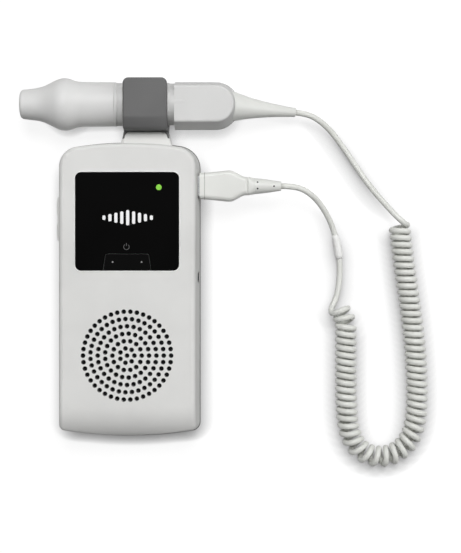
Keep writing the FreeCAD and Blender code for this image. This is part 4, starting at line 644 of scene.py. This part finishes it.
@dataclass
class CurlyCord:
    """The probe's cord: a lead, a coil that lies in a U, and a lead to the plug.

    The route's points are those of the solid cord, in millimetres, with a few moved or added where
    the leads meet the coil. The cord is one smooth line, cut at the bottom of the U into a half on the
    probe's side and a half on the plug's side.
    """

    radius_mm: float = 1.41
    curl_radius_mm: float = 3.95
    pitch_mm: float = 3.39
    bend_reading_mm: float = 4.0
    axis_height_mm: float = 5.46
    top_end_mm: float = 71.0
    start_turn: float = math.radians(45)
    end_turn: float = math.radians(90)
    per_curl: int = 16
    sides: int = 14
    # Points read from the smooth lines for each of their control points.
    axis_steps: int = 80
    line_steps: int = 4
    # Heights up the U that are handed to the probe's and the plug's halves.
    probe_top_mm: float = 24.0
    plug_top_mm: float = -14.0
    sleeve_low_mm: float = 14.6
    sleeve_high_mm: float = 28.4
    sleeve_radius_mm: float = 1.91
    sleeve_pinch: Flat = (0.85, 0.95)
    sleeve_sides: int = 20
    probe_lead: tuple[Point, ...] = (
        (80.55, 15.31, 9.03),
        (86.45, 14.75, 8.07),
        (92.3, 12.1, 6.0),
        (97.9, 7.5, 3.8),
        (102.9, 1.3, 2.3),
        (107.5, -5.1, 1.8),
        (111.9, -11.8, 2.0),
        (116.3, -18.3, 2.8),
        (120.6, -24.1, 4.4),
        (124.4, -28.8, 6.4),
        (127.2, -32.2, 8.0),
        (129.7, -35.0, 9.2),
        (131.7, -37.0, 9.8),
        (133.5, -38.4, 9.5),
    )
    coil_axis: tuple[Flat, ...] = (
        (131.9, -39.6),
        (134.0, -57.3),
        (137.2, -78.0),
        (139.8, -99.6),
        (140.7, -117.0),
        (140.6, -131.0),
        (138.4, -143.5),
        (131.4, -151.6),
        (121.4, -154.2),
        (111.8, -150.4),
        (106.8, -140.6),
        (105.6, -125.2),
        (105.7, -108.4),
        (105.7, -97.0),
        (105.7, -90.5),
        (105.4, -85.8),
        (102.3, -80.9),
    )
    plug_lead: tuple[Point, ...] = (
        (98.5, -82.0, 3.6),
        (99.1, -79.8, 2.2),
        (100.8, -76.4, 1.55),
        (102.2, -72.0, 1.6),
        (102.9, -66.2, 1.6),
        (103.1, -59.6, 1.65),
        (102.4, -52.8, 1.8),
        (101.0, -46.0, 2.3),
        (98.8, -39.2, 3.9),
        (95.4, -32.9, 6.9),
        (91.0, -27.4, 10.8),
        (85.6, -23.3, 14.6),
        (79.4, -21.3, 17.0),
        (73.3, -21.3, 17.0),
    )

    def spot(self, x: float, along: float, height: float) -> Vector:
        """A point of the route, which is measured along the unit from its top end."""
        return mm(x, self.top_end_mm + along, height)

    def pitches(self, axis: Sequence[Vector]) -> list[float]:
        """Spacing of the curls along the coil's axis, wider in a bend so that they stay clear inside it.

        Args:
            axis: Points of the axis, close together.

        Returns:
            The spacing at each point, in metres.
        """
        last = len(axis) - 1
        reach = max(1, round(self.bend_reading_mm * MM / (run_length(axis) / last)))
        ways = [(axis[min(i + 1, last)] - axis[max(i - 1, 0)]).normalized() for i in range(last + 1)]
        found = []
        for index in range(last + 1):
            first, final = max(0, index - reach), min(last, index + reach)
            bend = ways[first].angle(ways[final]) / (axis[final] - axis[first]).length
            found.append(self.pitch_mm * MM / (1 - bend * self.curl_radius_mm * MM))
        return found

    def coil(self) -> list[Vector]:
        """Wind the curls round the coil's axis.

        Returns:
            Points of the left-handed winding from the probe's end to the plug's.
        """
        route = [self.spot(x, along, self.axis_height_mm) for x, along in self.coil_axis]
        axis = nurbs_points(route, self.axis_steps)
        pitches = self.pitches(axis)
        turning = [0.0]
        for before, after, pitch in zip(axis, axis[1:], pitches[1:]):
            turning.append(turning[-1] + 2 * math.pi * (after - before).length / pitch)
        rest = self.end_turn - self.start_turn
        turns = round((turning[-1] - rest) / (2 * math.pi))
        total = 2 * math.pi * turns + rest
        turning = [angle * total / turning[-1] for angle in turning]
        # A quadratic line takes 1/8, 6/8 and 1/8 of three points, so it runs inside them by this share.
        inside = (6 + 2 * math.cos(2 * math.pi / self.per_curl)) / 8
        reach = self.curl_radius_mm * MM / inside
        count = math.ceil(total / (2 * math.pi) * self.per_curl)
        winding = []
        row = 0
        for step in range(count + 1):
            angle = total * step / count
            while row < len(axis) - 2 and turning[row + 1] < angle:
                row += 1
            share = (angle - turning[row]) / (turning[row + 1] - turning[row])
            middle = axis[row].lerp(axis[row + 1], share)
            beside = UP.cross(axis[row + 1] - axis[row]).normalized()
            phase = self.start_turn + angle
            winding.append(middle + (UP * math.cos(phase) + beside * math.sin(phase)) * reach)
        return winding

    def half(
        self, name: str, line: list[Vector], rings: list[list[Vector]], other: Body, top_mm: float
    ) -> bpy.types.Object:
        """Make one half of the cord: a tube round its rings, fixed in the frame.

        Args:
            name: The piece's name.
            line: Not used.
            rings: The rings round that line.
            other: Not used.
            top_mm: Not used.

        Returns:
            The piece.
        """
        piece = add_piece(name, skin(name, rings), CORD_PVC)
        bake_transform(piece)
        return piece

    def sleeve(self, line: list[Vector]) -> bpy.types.Object:
        """The short sleeve on the plug's lead, pinched in at both ends.

        Args:
            line: The plug half's middle line.

        Returns:
            The piece.
        """
        low, high = self.sleeve_low_mm * MM, self.sleeve_high_mm * MM
        run = [point for point in line if low <= point.y <= high]
        wide = self.sleeve_radius_mm * MM
        radii = [wide] * len(run)
        for index, share in enumerate(self.sleeve_pinch):
            radii[index] = wide * share
            radii[-1 - index] = wide * share
        mesh = skin("lead_sleeve", rings_along(run, radii, self.sleeve_sides))
        piece = add_piece("lead_sleeve", mesh, SLEEVE_PVC, Body.PLUG)
        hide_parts("cord_sleeve")
        return piece

    def build(self) -> None:
        winding = self.coil()
        first = [self.spot(*point) for point in self.probe_lead]
        last = [self.spot(*point) for point in self.plug_lead]
        line = nurbs_points(first + winding + last, self.line_steps)
        lowest = min(winding, key=lambda point: point.y)
        split = min(range(len(line)), key=lambda index: (line[index] - lowest).length)
        rings = rings_along(line, [self.radius_mm * MM] * len(line), self.sides)
        upper, lower = line[: split + 1], line[split:]
        probe_half = self.half(
            "curly_cord_probe_half", upper, rings[: split + 1], Body.PROBE, self.probe_top_mm
        )
        plug_half = self.half("curly_cord_plug_half", lower, rings[split:], Body.PLUG, self.plug_top_mm)
        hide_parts("probe_lead", "curly_cord")
        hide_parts("plug_lead", "curly_cord")
        plug_nodes = ("plug_housing", "plug_tongue", "plug_contacts", "plug_boot")
        on_plug = [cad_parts[name] for name in plug_nodes]
        on_plug.append(self.sleeve(lower))
        log.info("cord halves are %.3f m and %.3f m long", run_length(upper), run_length(lower))


@dataclass
class MainUnit:
    """The case: its window with printed marks, the grille, the headphone hole, the clip and the screws.

    Lengths are in millimetres, here and in Controls, Probe and Plug.
    """

    # Case.
    face_mm: float = 29.0
    parting_mm: float = 12.0
    port_mm: float = 17.0
    port_wall_mm: float = 33.475
    # Window, its bead and its marks.
    window_middle: Flat = (0.0, 32.2)
    window_width: float = 49.4
    window_length: float = 47.0
    window_corner: float = 3.0
    window_top_mm: float = 28.9
    lip_radius: float = 0.28
    lip_over: float = 0.12
    ink_mm: float = 0.03
    bar_count: int = 9
    bar_pitch: float = 2.8
    bar_width: float = 1.5
    bar_round: float = 0.4
    bars_middle: Flat = (0.3, 33.9)
    bars_height: float = 7.2
    bars_fall: float = 0.7
    mark_middle: Flat = (-0.3, 20.1)
    mark_radius: float = 1.3
    mark_stroke: float = 0.32
    mark_gap: float = 35.0
    mark_bar_up: float = 0.8
    mark_bar_length: float = 1.1
    # Grille.
    grille_middle: Flat = (0.0, -31.3)
    hole_pitch: float = 3.47
    hole_rings: int = 6
    holes_per_ring: int = 7
    hole_radius: float = 1.05
    rim_inside: float = 0.02
    rim_outside: float = 0.08
    rim_foot: float = 0.05
    rim_stand: float = 0.01
    rim_depth: float = 1.2
    rim_sides: int = 12
    # Seam, neck and clip.
    seam_radius: float = 0.32
    neck_root_mm: float = 70.95
    clip_middle: float = 8.3
    clip_half_width: float = 10.55
    clip_back_mm: float = 76.1
    clip_edge: float = 0.8
    # The back of the clip in profile, distances up the unit and heights: its top, its turn and its underside.
    clip_profile: tuple[Flat, ...] = (
        (83.0, 28.96),
        (82.0, 29.0),
        (81.0, 28.83),
        (79.5, 28.36),
        (78.0, 27.84),
        (77.1, 27.4),
        (76.5, 26.9),
        (76.15, 26.1),
        (76.02, 24.8),
        (76.0, 22.0),
        (76.5, 21.9),
        (82.4, 28.7),
    )
    clip_profile_middle: Flat = (80.5, 26.4)
    clip_inset: float = 0.05
    clip_edge_steps: int = 5
    neck_corner: float = 3.6
    root_overlap: float = 0.2
    root_flare: float = 0.75
    root_low_mm: float = 2.6
    root_high_mm: float = 20.06
    root_steps: int = 10
    # Screws.
    screw_x: float = 26.6
    screw_rows: Flat = (-60.0, 61.6)
    screw_face_mm: float = 3.2
    clip_screw: Point = (8.3, 73.4, 2.5)
    cross_thin: float = 0.35
    cross_long: float = 1.25
    cross_stand: float = 0.04
    cross_depth: float = 0.2
    # Headphone hole.
    jack_y: float = 5.8
    jack_bore: float = 1.8
    # Distances out of the wall and widths past the bore.
    bezel_profile: tuple[Flat, ...] = ((-1.0, 0.5), (0.1, 0.5), (0.18, 0.4), (0.18, 0.15), (-1.0, 0.0))
    bezel_sides: int = 32

    def window_lip(self) -> None:
        """The polished bead of the case round the window, lighter than the case as a painted highlight."""
        offset = 2 * self.lip_radius - 2 * self.lip_over
        middle = (self.window_middle[0], self.window_middle[1] - self.lip_over / 2)
        corners = box_corners(middle, self.window_width + offset, self.window_length + offset - self.lip_over)
        outline = softened(corners, self.window_corner + offset / 2)
        points = [mm(x, y, self.face_mm) for x, y in outline]
        line_piece("window_lip", points, self.lip_radius, LIP_HIGHLIGHT_ABS, Body.UNIT, True)

    def level_bars(self) -> None:
        """A row of bars that stand for sound level, tallest in the middle, printed on the window."""
        half = (self.bar_count - 1) / 2
        bars = []
        for index in range(self.bar_count):
            step = index - half
            height = self.bars_height * (1 - self.bars_fall * abs(step) / half)
            middle = (self.bars_middle[0] + step * self.bar_pitch, self.bars_middle[1])
            outline = softened(box_corners(middle, self.bar_width, height), self.bar_width * self.bar_round)
            bars.append(self.printed("bar", outline))
        add_piece("window_level_bars", joined("bars", bars), WHITE_INK, Body.UNIT)

    def printed(self, name: str, outline: Sequence[Flat]) -> bpy.types.Mesh:
        """A patch of ink on the window."""
        return prism(name, outline, self.window_top_mm - self.ink_mm, self.window_top_mm + self.ink_mm)

    def power_mark(self) -> None:
        """The common sign for power, printed dim above the key."""
        middle, stroke = self.mark_middle, self.mark_stroke / 2
        start, stop = 90 + self.mark_gap, 90 + 360 - self.mark_gap
        outside = arc(middle, self.mark_radius + stroke, start, stop)
        inside = arc(middle, self.mark_radius - stroke, start, stop)
        bar_middle = (middle[0], middle[1] + self.mark_radius * self.mark_bar_up)
        bar = box_corners(bar_middle, 2 * stroke, self.mark_radius * self.mark_bar_length)
        parts = [self.printed("ring", outside + inside[::-1]), self.printed("bar", bar)]
        add_piece("window_power_mark", joined("mark", parts), DIM_INK, Body.UNIT)

    def grille_rims(self) -> None:
        """Dark rims in the grille's holes, one for each hole of every ring: the cloth behind is black, and
        the rims add painted shade on the hole walls and round their edges.
        """
        places = [mm(*self.grille_middle, self.face_mm)]
        for ring in range(1, self.hole_rings + 1):
            count = self.holes_per_ring * ring
            for x, y in arc(self.grille_middle, self.hole_pitch * ring, 0, 360, count)[:count]:
                places.append(mm(x, y, self.face_mm))
        inner, outer = self.hole_radius - self.rim_inside, self.hole_radius + self.rim_outside
        foot, top = -self.rim_depth, self.rim_stand
        profile = ((foot, inner + self.rim_foot), (top, outer), (top, inner), (foot, inner))
        model = turned("rim", profile, self.rim_sides, Vector(), UP)
        mesh = repeated("grille_hole_rims", model, places, HOLE_DARK)
        add_piece("grille_hole_rims", mesh, HOLE_DARK, Body.UNIT)

    def parting_seam(self) -> None:
        """A dark bead round the case where the two shells meet: painted shade of the gap between them."""
        points = section_at("front_shell", self.parting_mm, self.neck_root_mm)
        line_piece("case_parting_seam", points, self.seam_radius, SEAM_DARK, Body.UNIT, True)

    def clip_root(self) -> None:
        """The clip's grey root, which wraps the corners of the neck."""
        corners = []
        for side in (-1, 1):
            edge = self.clip_middle + side * self.clip_half_width
            low = self.clip_back_mm - self.neck_corner
            centre = (edge - side * self.neck_corner, low)
            bend = arc(centre, self.neck_corner - self.root_overlap, 90, 90 - 90 * side, self.root_steps)
            flare = (edge + side * self.root_flare, low)
            outline = [flare, (edge, self.clip_back_mm), (centre[0], self.clip_back_mm), *bend]
            corners.append(prism("corner", outline[::side], self.root_low_mm, self.root_high_mm))
        add_piece("clip_root", joined("root", corners), CLIP_ABS, Body.UNIT)

    def clip_back(self) -> None:
        """The rounded back of the clip: it falls slowly from the flat top, then turns down to the neck."""
        profile = [Vector(point) for point in self.clip_profile]
        middle = Vector(self.clip_profile_middle)
        half, edge, steps = self.clip_half_width - self.clip_inset, self.clip_edge, self.clip_edge_steps
        rings = []
        # Steps 0 and 1 give the same ring, at the end of the flat stretch.
        for step in range(-steps - 1, steps + 2):
            angle = math.radians(90 * max(0, abs(step) - 1) / steps)
            x = self.clip_middle + math.copysign(half - edge * (1 - math.sin(angle)), step)
            ring = []
            for point in profile:
                inset = (middle - point).normalized() * edge * (1 - math.cos(angle))
                ring.append(mm(x, *(point + inset)))
            rings.append(ring)
        add_piece("clip_back", skin("clip_back", rings), CLIP_ABS, Body.UNIT)

    def screw_recesses(self) -> None:
        """Cross recesses in the heads of the screws, drawn as dark crosses: painted shade in the recesses."""
        thin, long = self.cross_thin, self.cross_long
        quarter = [(thin, -long), (thin, -thin), (long, -thin)]
        cross = []
        for turn in range(4):
            spin = Matrix.Rotation(math.radians(90 * turn), 2)
            cross += [tuple(spin @ Vector(corner)) for corner in quarter]
        places = [mm(side * self.screw_x, y, self.screw_face_mm) for side in (-1, 1) for y in self.screw_rows]
        places.append(mm(*self.clip_screw))
        model = prism("cross", cross, -self.cross_stand, self.cross_depth)
        mesh = repeated("screw_recesses", model, places, HOLE_DARK)
        add_piece("screw_recesses", mesh, HOLE_DARK, Body.UNIT)

    def jack_bezel(self) -> None:
        """The black bezel round the headphone hole."""
        profile = [(out, self.jack_bore + wide) for out, wide in self.bezel_profile]
        place = mm(self.port_wall_mm, self.jack_y, self.port_mm)
        mesh = turned("jack_bezel", profile, self.bezel_sides, place, ALONG_X)
        add_piece("jack_bezel", mesh, DARK_ABS, Body.UNIT)

    def dress(self) -> None:
        """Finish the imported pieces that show."""
        dress(CASE_ABS, "front_shell", "rear_shell")
        dress(WINDOW_ACRYLIC, "window_panel")
        dress(LAMP_GREEN, "status_lens", "status_lamp")
        dress(CLIP_ABS, "probe_clip")
        dress(STEEL_PLATED, "case_screws", "clip_screw")
        dress(DARK_ABS, "probe_socket", "headphone_jack")
        dress(CLOTH_BLACK, "speaker_cloth")

    def build(self) -> None:
        """Make and finish the case's details."""
        self.window_lip()
        self.level_bars()
        self.power_mark()
        self.grille_rims()
        self.parting_seam()
        self.clip_root()
        self.clip_back()
        self.screw_recesses()
        self.jack_bezel()
        self.dress()


@dataclass
class Controls:
    """The pieces that a finger moves: the power key, the volume rocker and the battery door."""

    # Power key.
    key_top_mm: float = 28.9
    key_low: float = 8.85
    key_high: float = 16.75
    key_low_half: float = 11.35
    key_high_half: float = 10.2
    key_corner: float = 1.2
    key_edge_radius: float = 0.09
    dot_radius: float = 0.42
    dot_x: float = 6.85
    dot_y: float = 12.95
    dot_sides: int = 20
    ink_mm: float = 0.03
    # Volume rocker.
    rocker_face_mm: float = -34.375
    rocker_y: float = 33.7
    rocker_z: float = 17.0
    pad_from_middle: float = 5.4
    pad_half_length: float = 4.4
    pad_half_height: float = 1.7
    pad_height: float = 0.45
    # The higher this power, the more a pad keeps its width before it closes at its ends.
    pad_power: int = 4
    pad_rows: int = 24
    pad_sides: int = 20

    def key_marks(self) -> None:
        """A lighter line round the key's edge as a painted highlight, and two dots printed on it."""
        corners = [
            (-self.key_low_half, self.key_low),
            (self.key_low_half, self.key_low),
            (self.key_high_half, self.key_high),
            (-self.key_high_half, self.key_high),
        ]
        points = [mm(x, y, self.key_top_mm) for x, y in softened(corners, self.key_corner)]
        line_piece("key_edge", points, self.key_edge_radius, KEY_EDGE_HIGHLIGHT_ABS, Body.KEY, True)
        low, high = self.key_top_mm - self.ink_mm, self.key_top_mm + self.ink_mm
        dots = []
        for side in (-1, 1):
            middle = (side * self.dot_x, self.dot_y)
            outline = arc(middle, self.dot_radius, 0, 360, self.dot_sides)[: self.dot_sides]
            dots.append(prism("dot", outline, low, high))
        add_piece("key_dots", joined("dots", dots), GREY_INK, Body.KEY)

    def rocker_pads(self) -> None:
        """A low swelling on each end of the rocker, for the finger to find."""
        pads = []
        for side in (-1, 1):
            middle = mm(self.rocker_face_mm, self.rocker_y + side * self.pad_from_middle, self.rocker_z)
            rings = []
            for row in range(1, self.pad_rows):
                along = -math.cos(math.pi * row / self.pad_rows)
                share = math.sqrt(1 - along**self.pad_power)
                ring = []
                for x, y in round_steps(self.pad_sides):
                    out, up = self.pad_height * share * x, -self.pad_half_height * share * y
                    ring.append(middle + mm(out, along * self.pad_half_length, up))
                rings.append(ring)
            pads.append(skin("pad", rings))
        add_piece("rocker_pads", joined("pads", pads), CASE_ABS, Body.ROCKER)

    def build(self) -> None:
        """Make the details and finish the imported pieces."""
        self.key_marks()
        self.rocker_pads()
        dress(KEY_ABS, "power_key")
        dress(CASE_ABS, "volume_rocker", "battery_door")


@dataclass
class Probe:
    """The probe in its clip: the nose with its skirt, and the two shells of the grip."""

    axis_y: float = 89.4
    axis_z: float = 15.0
    # Nose.
    nose_end: float = -6.5
    skirt_least: float = 0.12
    skirt_reach: float = 1.3
    skirt_radius: float = 10.63
    # Rows of the skirt: distance along the probe, share of its reach, and depth under its outside.
    skirt_rows: tuple[Point, ...] = (
        (-0.4, 0.0, 0.0),
        (-0.25, 1.0, 0.0),
        (0.0, 1.0, 0.16),
        (0.0, 1.0, 0.45),
        (-0.4, 0.0, 0.45),
    )
    skirt_sides: int = 64
    # Grip and housing.
    grip_radius: float = 10.25
    groove_start: float = 19.3
    housing_start: float = 22.2
    housing_end: float = 53.0
    housing_y: float = 88.6
    housing_half: float = 11.4
    housing_corner: float = 11.2
    seam_radius: float = 0.1

    def nose_skirt(self) -> None:
        """The rear edge of the nose, which reaches further back over the top and the underside."""
        rings = []
        for back, share, drop in self.skirt_rows:
            radius = self.skirt_radius - drop
            ring = []
            for up, beside in round_steps(self.skirt_sides):
                x = self.nose_end + back + share * (self.skirt_least + self.skirt_reach * abs(up))
                ring.append(mm(x, self.axis_y - radius * beside, self.axis_z + radius * up))
            rings.append(ring)
        add_piece("nose_skirt", skin("nose_skirt", rings, True), NOSE_ABS, Body.PROBE)

    def seams(self) -> None:
        """The dark line where the two shells meet, along both sides of the grip and round the housing:
        painted shade of the gap.
        """
        runs = {}
        for name, side in (("near", -1), ("far", 1)):
            y = self.axis_y + side * self.grip_radius
            runs[f"grip_seam_{name}"] = [(self.nose_end, y), (self.groove_start, y)]
        corner = self.housing_corner
        end = self.housing_end - corner
        low, high = self.housing_y - self.housing_half, self.housing_y + self.housing_half
        runs["housing_seam"] = [
            (self.housing_start, low),
            *arc((end, low + corner), corner, -90, 0),
            *arc((end, high - corner), corner, 0, 90),
            (self.housing_start, high),
        ]
        for name, run in runs.items():
            points = [mm(x, y, self.axis_z) for x, y in run]
            line_piece(name, points, self.seam_radius, SEAM_DARK, Body.PROBE, False)

    def build(self) -> None:
        """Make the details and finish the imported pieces."""
        self.nose_skirt()
        self.seams()
        dress(NOSE_ABS, "probe_nose")
        dress(PROBE_ABS, "probe_upper_shell", "probe_lower_shell")
        dress(PLUG_PVC, "probe_boot")
        dress(LENS_EPOXY, "acoustic_lens")


@dataclass
class Plug:
    """The plug in the unit's right wall: its collar's groove, its boot's root, and the boot's dimples."""

    middle_y: float = 49.7
    middle_z: float = 17.0
    # Collar.
    collar_end: float = 36.45
    collar_width: float = 12.6
    collar_height: float = 8.0
    collar_corner: float = 1.0
    groove_radius: float = 0.13
    # Neck and boot.
    neck_end: float = 57.95
    neck_half: float = 4.3
    boot_radius: float = 3.98
    root_length: float = 3.2
    root_overlap: float = 0.6
    root_stand: float = 0.03
    root_fall: float = 0.05
    # Powers of the root's section: nearly square at the neck, round at the boot.
    neck_power: float = 5.0
    boot_power: float = 2.0
    root_rows: int = 8
    root_sides: int = 48
    dimples: tuple[Flat, ...] = ((61.9, 51.4), (61.9, 48.3), (69.8, 49.5))
    dimple_radius: float = 0.42
    dimple_core: float = 0.05
    dimple_depth: float = 0.4
    dimple_stand: float = 0.03
    dimple_sides: int = 16
    cast_from_mm: float = 60.0

    def collar_groove(self) -> None:
        """The groove behind the collar, drawn as a grey line: painted shade in the groove."""
        corners = box_corners((self.middle_y, self.middle_z), self.collar_width, self.collar_height)
        outline = softened(corners, self.collar_corner)
        points = [mm(self.collar_end, y, z) for y, z in outline]
        radius = self.groove_radius
        line_piece("plug_collar_groove", points, radius, GROOVE_GREY, Body.PLUG, True)

    def boot_root(self) -> None:
        """The moulded root that runs from the plug's flat neck into its round boot."""
        rings = []
        for row in range(self.root_rows + 1):
            share = row / self.root_rows
            ease = share * share * (3 - 2 * share)
            power = 2 / (self.neck_power + (self.boot_power - self.neck_power) * ease)
            wide = self.neck_half + self.root_stand + (self.boot_radius - self.neck_half) * ease
            tall = self.collar_height / 2 + self.root_stand - self.root_fall * ease
            x = self.neck_end - self.root_overlap + self.root_length * share
            ring = []
            for across, up in round_steps(self.root_sides):
                y = self.middle_y + wide * math.copysign(abs(across) ** power, across)
                z = self.middle_z + tall * math.copysign(abs(up) ** power, up)
                ring.append(mm(x, y, z))
            rings.append(ring)
        add_piece("plug_boot_root", skin("plug_boot_root", rings), PLUG_PVC, Body.PLUG)

    def boot_dimples(self) -> None:
        """Three small dimples that the mould's pins left on the boot, drawn dark: painted shade in the
        dimples.
        """
        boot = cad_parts["plug_boot"]
        radius, core = self.dimple_radius, self.dimple_radius * self.dimple_core
        foot, top = -self.dimple_depth, self.dimple_stand
        profile = ((foot, radius), (top, radius), (top, core), (foot, core))
        spots = []
        for x, y in self.dimples:
            _, place, normal, _ = boot.ray_cast(mm(x, y, self.cast_from_mm), -UP)
            spots.append(turned("dimple", profile, self.dimple_sides, place, normal))
        add_piece("plug_boot_dimples", joined("dimples", spots), HOLE_DARK, Body.PLUG)

    def build(self) -> None:
        """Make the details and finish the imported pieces."""
        self.collar_groove()
        self.boot_root()
        self.boot_dimples()
        dress(PLUG_PVC, "plug_housing", "plug_boot")
        dress(STEEL_PLATED, "plug_tongue")
        dress(BRASS_GOLD, "plug_contacts")


class Inside:
    """What the shells hide: boards, switches, the loudspeaker, the cells and the transducer."""

    def build(self) -> None:
        """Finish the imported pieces."""
        dress(DARK_ABS, "power_switch", "switch_plunger", "volume_switches")
        dress(BOARD_LACQUER, "main_board", "probe_board")
        dress(STEEL_PLATED, "board_screws", "rocker_pin", "battery_springs", "battery_contacts")
        dress(STEEL_PLATED, "speaker_frame", "speaker_magnet")
        dress(BRASS_GOLD, "socket_contacts")
        dress(PAPER_CONE, "speaker_cone")
        dress(CELL_FILM, "battery_cells")
        dress(CERAMIC, "transducer_crystals", "crystal_backing")


@dataclass
class Studio:
    """A plain pale floor, soft lamps and the camera straight above."""

    # Camera, in millimetres and pixels of the picture.
    camera_mm: Point = (48.9, 6.1, 600.0)
    focal_px: float = 1208.0
    long_side_px: float = 553.0
    sensor_mm: float = 36.0
    nearest_m: float = 0.01
    # Floor, backdrop and lamps.
    floor_colour: str = "#7C7C7C"
    floor_drop_mm: float = 0.15
    floor_half_m: float = 4.0
    floor_lift: float = 0.86
    # Reach, lean and samples of the floor's painted contact shadow.
    contact_mm: float = 8.5
    contact_way: Point = (-0.1, 1.0, 0.3)
    contact_samples: int = 16
    backdrop_top: Flat = (0.3, 0.5)
    surround: float = 0.1
    lamp_aim: Point = (0.05, 0.0, 0.0)
    # Name, place and side in metres, and power in watts.
    softboxes: tuple[tuple[str, Point, float, float], ...] = (
        ("key", (0.1, 0.75, 1.5), 0.7, 18.2),
        ("left_fill", (-0.9, 0.1, 1.3), 0.9, 3.4),
        ("right_fill", (1.2, 0.15, 0.9), 0.9, 6.6),
        ("front_fill", (0.1, -0.9, 1.4), 0.8, 0.2),
    )

    def floor(self) -> None:
        """A matt floor that keeps the shadows, lifted to white by a glow where the camera sees it; the glow
        fades close to the object, a painted contact shadow.
        """
        half = self.floor_half_m
        z = -self.floor_drop_mm * MM
        mesh = bpy.data.meshes.new("studio_floor")
        corners = [(-half, -half, z), (half, -half, z), (half, half, z), (-half, half, z)]
        mesh.from_pydata(corners, [], [(0, 1, 2, 3)])
        paint = bpy.data.materials.new("paint_matt_white_floor")
        paint.use_nodes = True
        tree = paint.node_tree
        tree.nodes.clear()
        matt = add_node(tree, "ShaderNodeBsdfDiffuse", {"Color": linear(self.floor_colour)})
        # The openness is read round a way that leans towards +Y, so the painted shadow falls mostly on the -Y
        # side of things.
        across, along, up = Vector(self.contact_way).normalized()
        open_way = add_node(tree, "ShaderNodeCombineXYZ", {"X": across, "Y": along, "Z": up})
        near = add_node(
            tree,
            "ShaderNodeAmbientOcclusion",
            {"Distance": self.contact_mm * MM, "Normal": open_way.outputs[0]},
            samples=self.contact_samples,
        )
        # Openness counts twice, so that the painted shadow deepens towards the line of contact.
        lift = self.seen(tree)
        for factor in (near.outputs["AO"], near.outputs["AO"], self.floor_lift):
            lift = add_node(tree, "ShaderNodeMath", {0: lift, 1: factor}, operation="MULTIPLY").outputs[0]
        glow = add_node(tree, "ShaderNodeEmission", {"Color": linear(WHITE), "Strength": lift})
        both = add_node(tree, "ShaderNodeAddShader", {0: matt.outputs[0], 1: glow.outputs[0]})
        add_node(tree, "ShaderNodeOutputMaterial", {"Surface": both.outputs[0]})
        mesh.materials.append(paint)
        ground = bpy.data.objects.new("studio_floor", mesh)
        bpy.context.scene.collection.objects.link(ground)

    def seen(self, tree: bpy.types.NodeTree) -> bpy.types.NodeSocket:
        """1 where the camera sees a surface, also in a mirror or through glass.

        Args:
            tree: The material's or the world's nodes.

        Returns:
            The socket.
        """
        rays = add_node(tree, "ShaderNodeLightPath").outputs
        found = rays["Is Camera Ray"]
        for ray in (rays["Is Glossy Ray"], rays["Is Transmission Ray"]):
            found = add_node(tree, "ShaderNodeMath", {0: found, 1: ray}, operation="MAXIMUM").outputs[0]
        return found

    def world(self) -> None:
        """A dim even surround with a white backdrop round it, where the camera or a mirror sees it."""
        scene = bpy.context.scene
        scene.world = bpy.data.worlds.new("studio_surround")
        scene.world.use_nodes = True
        tree = scene.world.node_tree
        tree.nodes.clear()
        way = add_node(tree, "ShaderNodeTexCoord").outputs["Generated"]
        low, high = self.backdrop_top
        backdrop = add_node(
            tree,
            "ShaderNodeMapRange",
            {
                "Value": add_node(tree, "ShaderNodeSeparateXYZ", {0: way}).outputs["Z"],
                "From Min": low,
                "From Max": high,
                "To Min": 1.0,
                "To Max": 0.0,
            },
        )
        white_share = add_node(
            tree, "ShaderNodeMath", {0: self.seen(tree), 1: backdrop.outputs["Result"]}, operation="MULTIPLY"
        )
        dim = add_node(tree, "ShaderNodeBackground", {"Color": linear(WHITE), "Strength": self.surround})
        white = add_node(tree, "ShaderNodeBackground", {"Color": linear(WHITE), "Strength": 1.0})
        both = add_node(
            tree,
            "ShaderNodeMixShader",
            {0: white_share.outputs[0], 1: dim.outputs[0], 2: white.outputs[0]},
        )
        add_node(tree, "ShaderNodeOutputWorld", {"Surface": both.outputs[0]})

    def lamp(self, name: str, place: Point, size: float, power: float) -> None:
        """A square softbox that faces the object.

        Args:
            name: The lamp's name.
            place: Where it hangs, in metres.
            size: Its side, in metres.
            power: Its power, in watts.
        """
        light = bpy.data.lights.new(name, "AREA")
        light.shape = "SQUARE"
        light.size = size
        light.energy = power
        holder = bpy.data.objects.new(name, light)
        way = Vector(self.lamp_aim) - Vector(place)
        holder.matrix_world = Matrix.Translation(place) @ way.to_track_quat("-Z", "Y").to_matrix().to_4x4()
        bpy.context.scene.collection.objects.link(holder)

    def lamps(self) -> None:
        """A high key beyond the probe's end, a fill on each side and a weak one in front."""
        for softbox in self.softboxes:
            self.lamp(*softbox)

    def camera(self) -> None:
        """The camera, straight above with +Y up in the picture."""
        lens = bpy.data.cameras.new("camera")
        lens.sensor_width = self.sensor_mm
        lens.lens = self.focal_px * self.sensor_mm / self.long_side_px
        lens.clip_start = self.nearest_m
        holder = bpy.data.objects.new("camera", lens)
        holder.location = mm(*self.camera_mm)
        bpy.context.scene.collection.objects.link(holder)
        bpy.context.scene.camera = holder

    def build(self) -> None:
        """Set up the whole studio."""
        bpy.context.scene.view_settings.view_transform = "Standard"
        self.floor()
        self.world()
        self.lamps()
        self.camera()


def main() -> None:
    """Build every sub-assembly, then the studio."""
    logging.basicConfig(level=logging.INFO, format="%(name)s: %(message)s")
    for assembly in (CurlyCord(), MainUnit(), Controls(), Probe(), Plug(), Inside(), Studio()):
        assembly.build()
        log.info("%s is built", type(assembly).__name__)


if __name__ == "__main__":
    main()
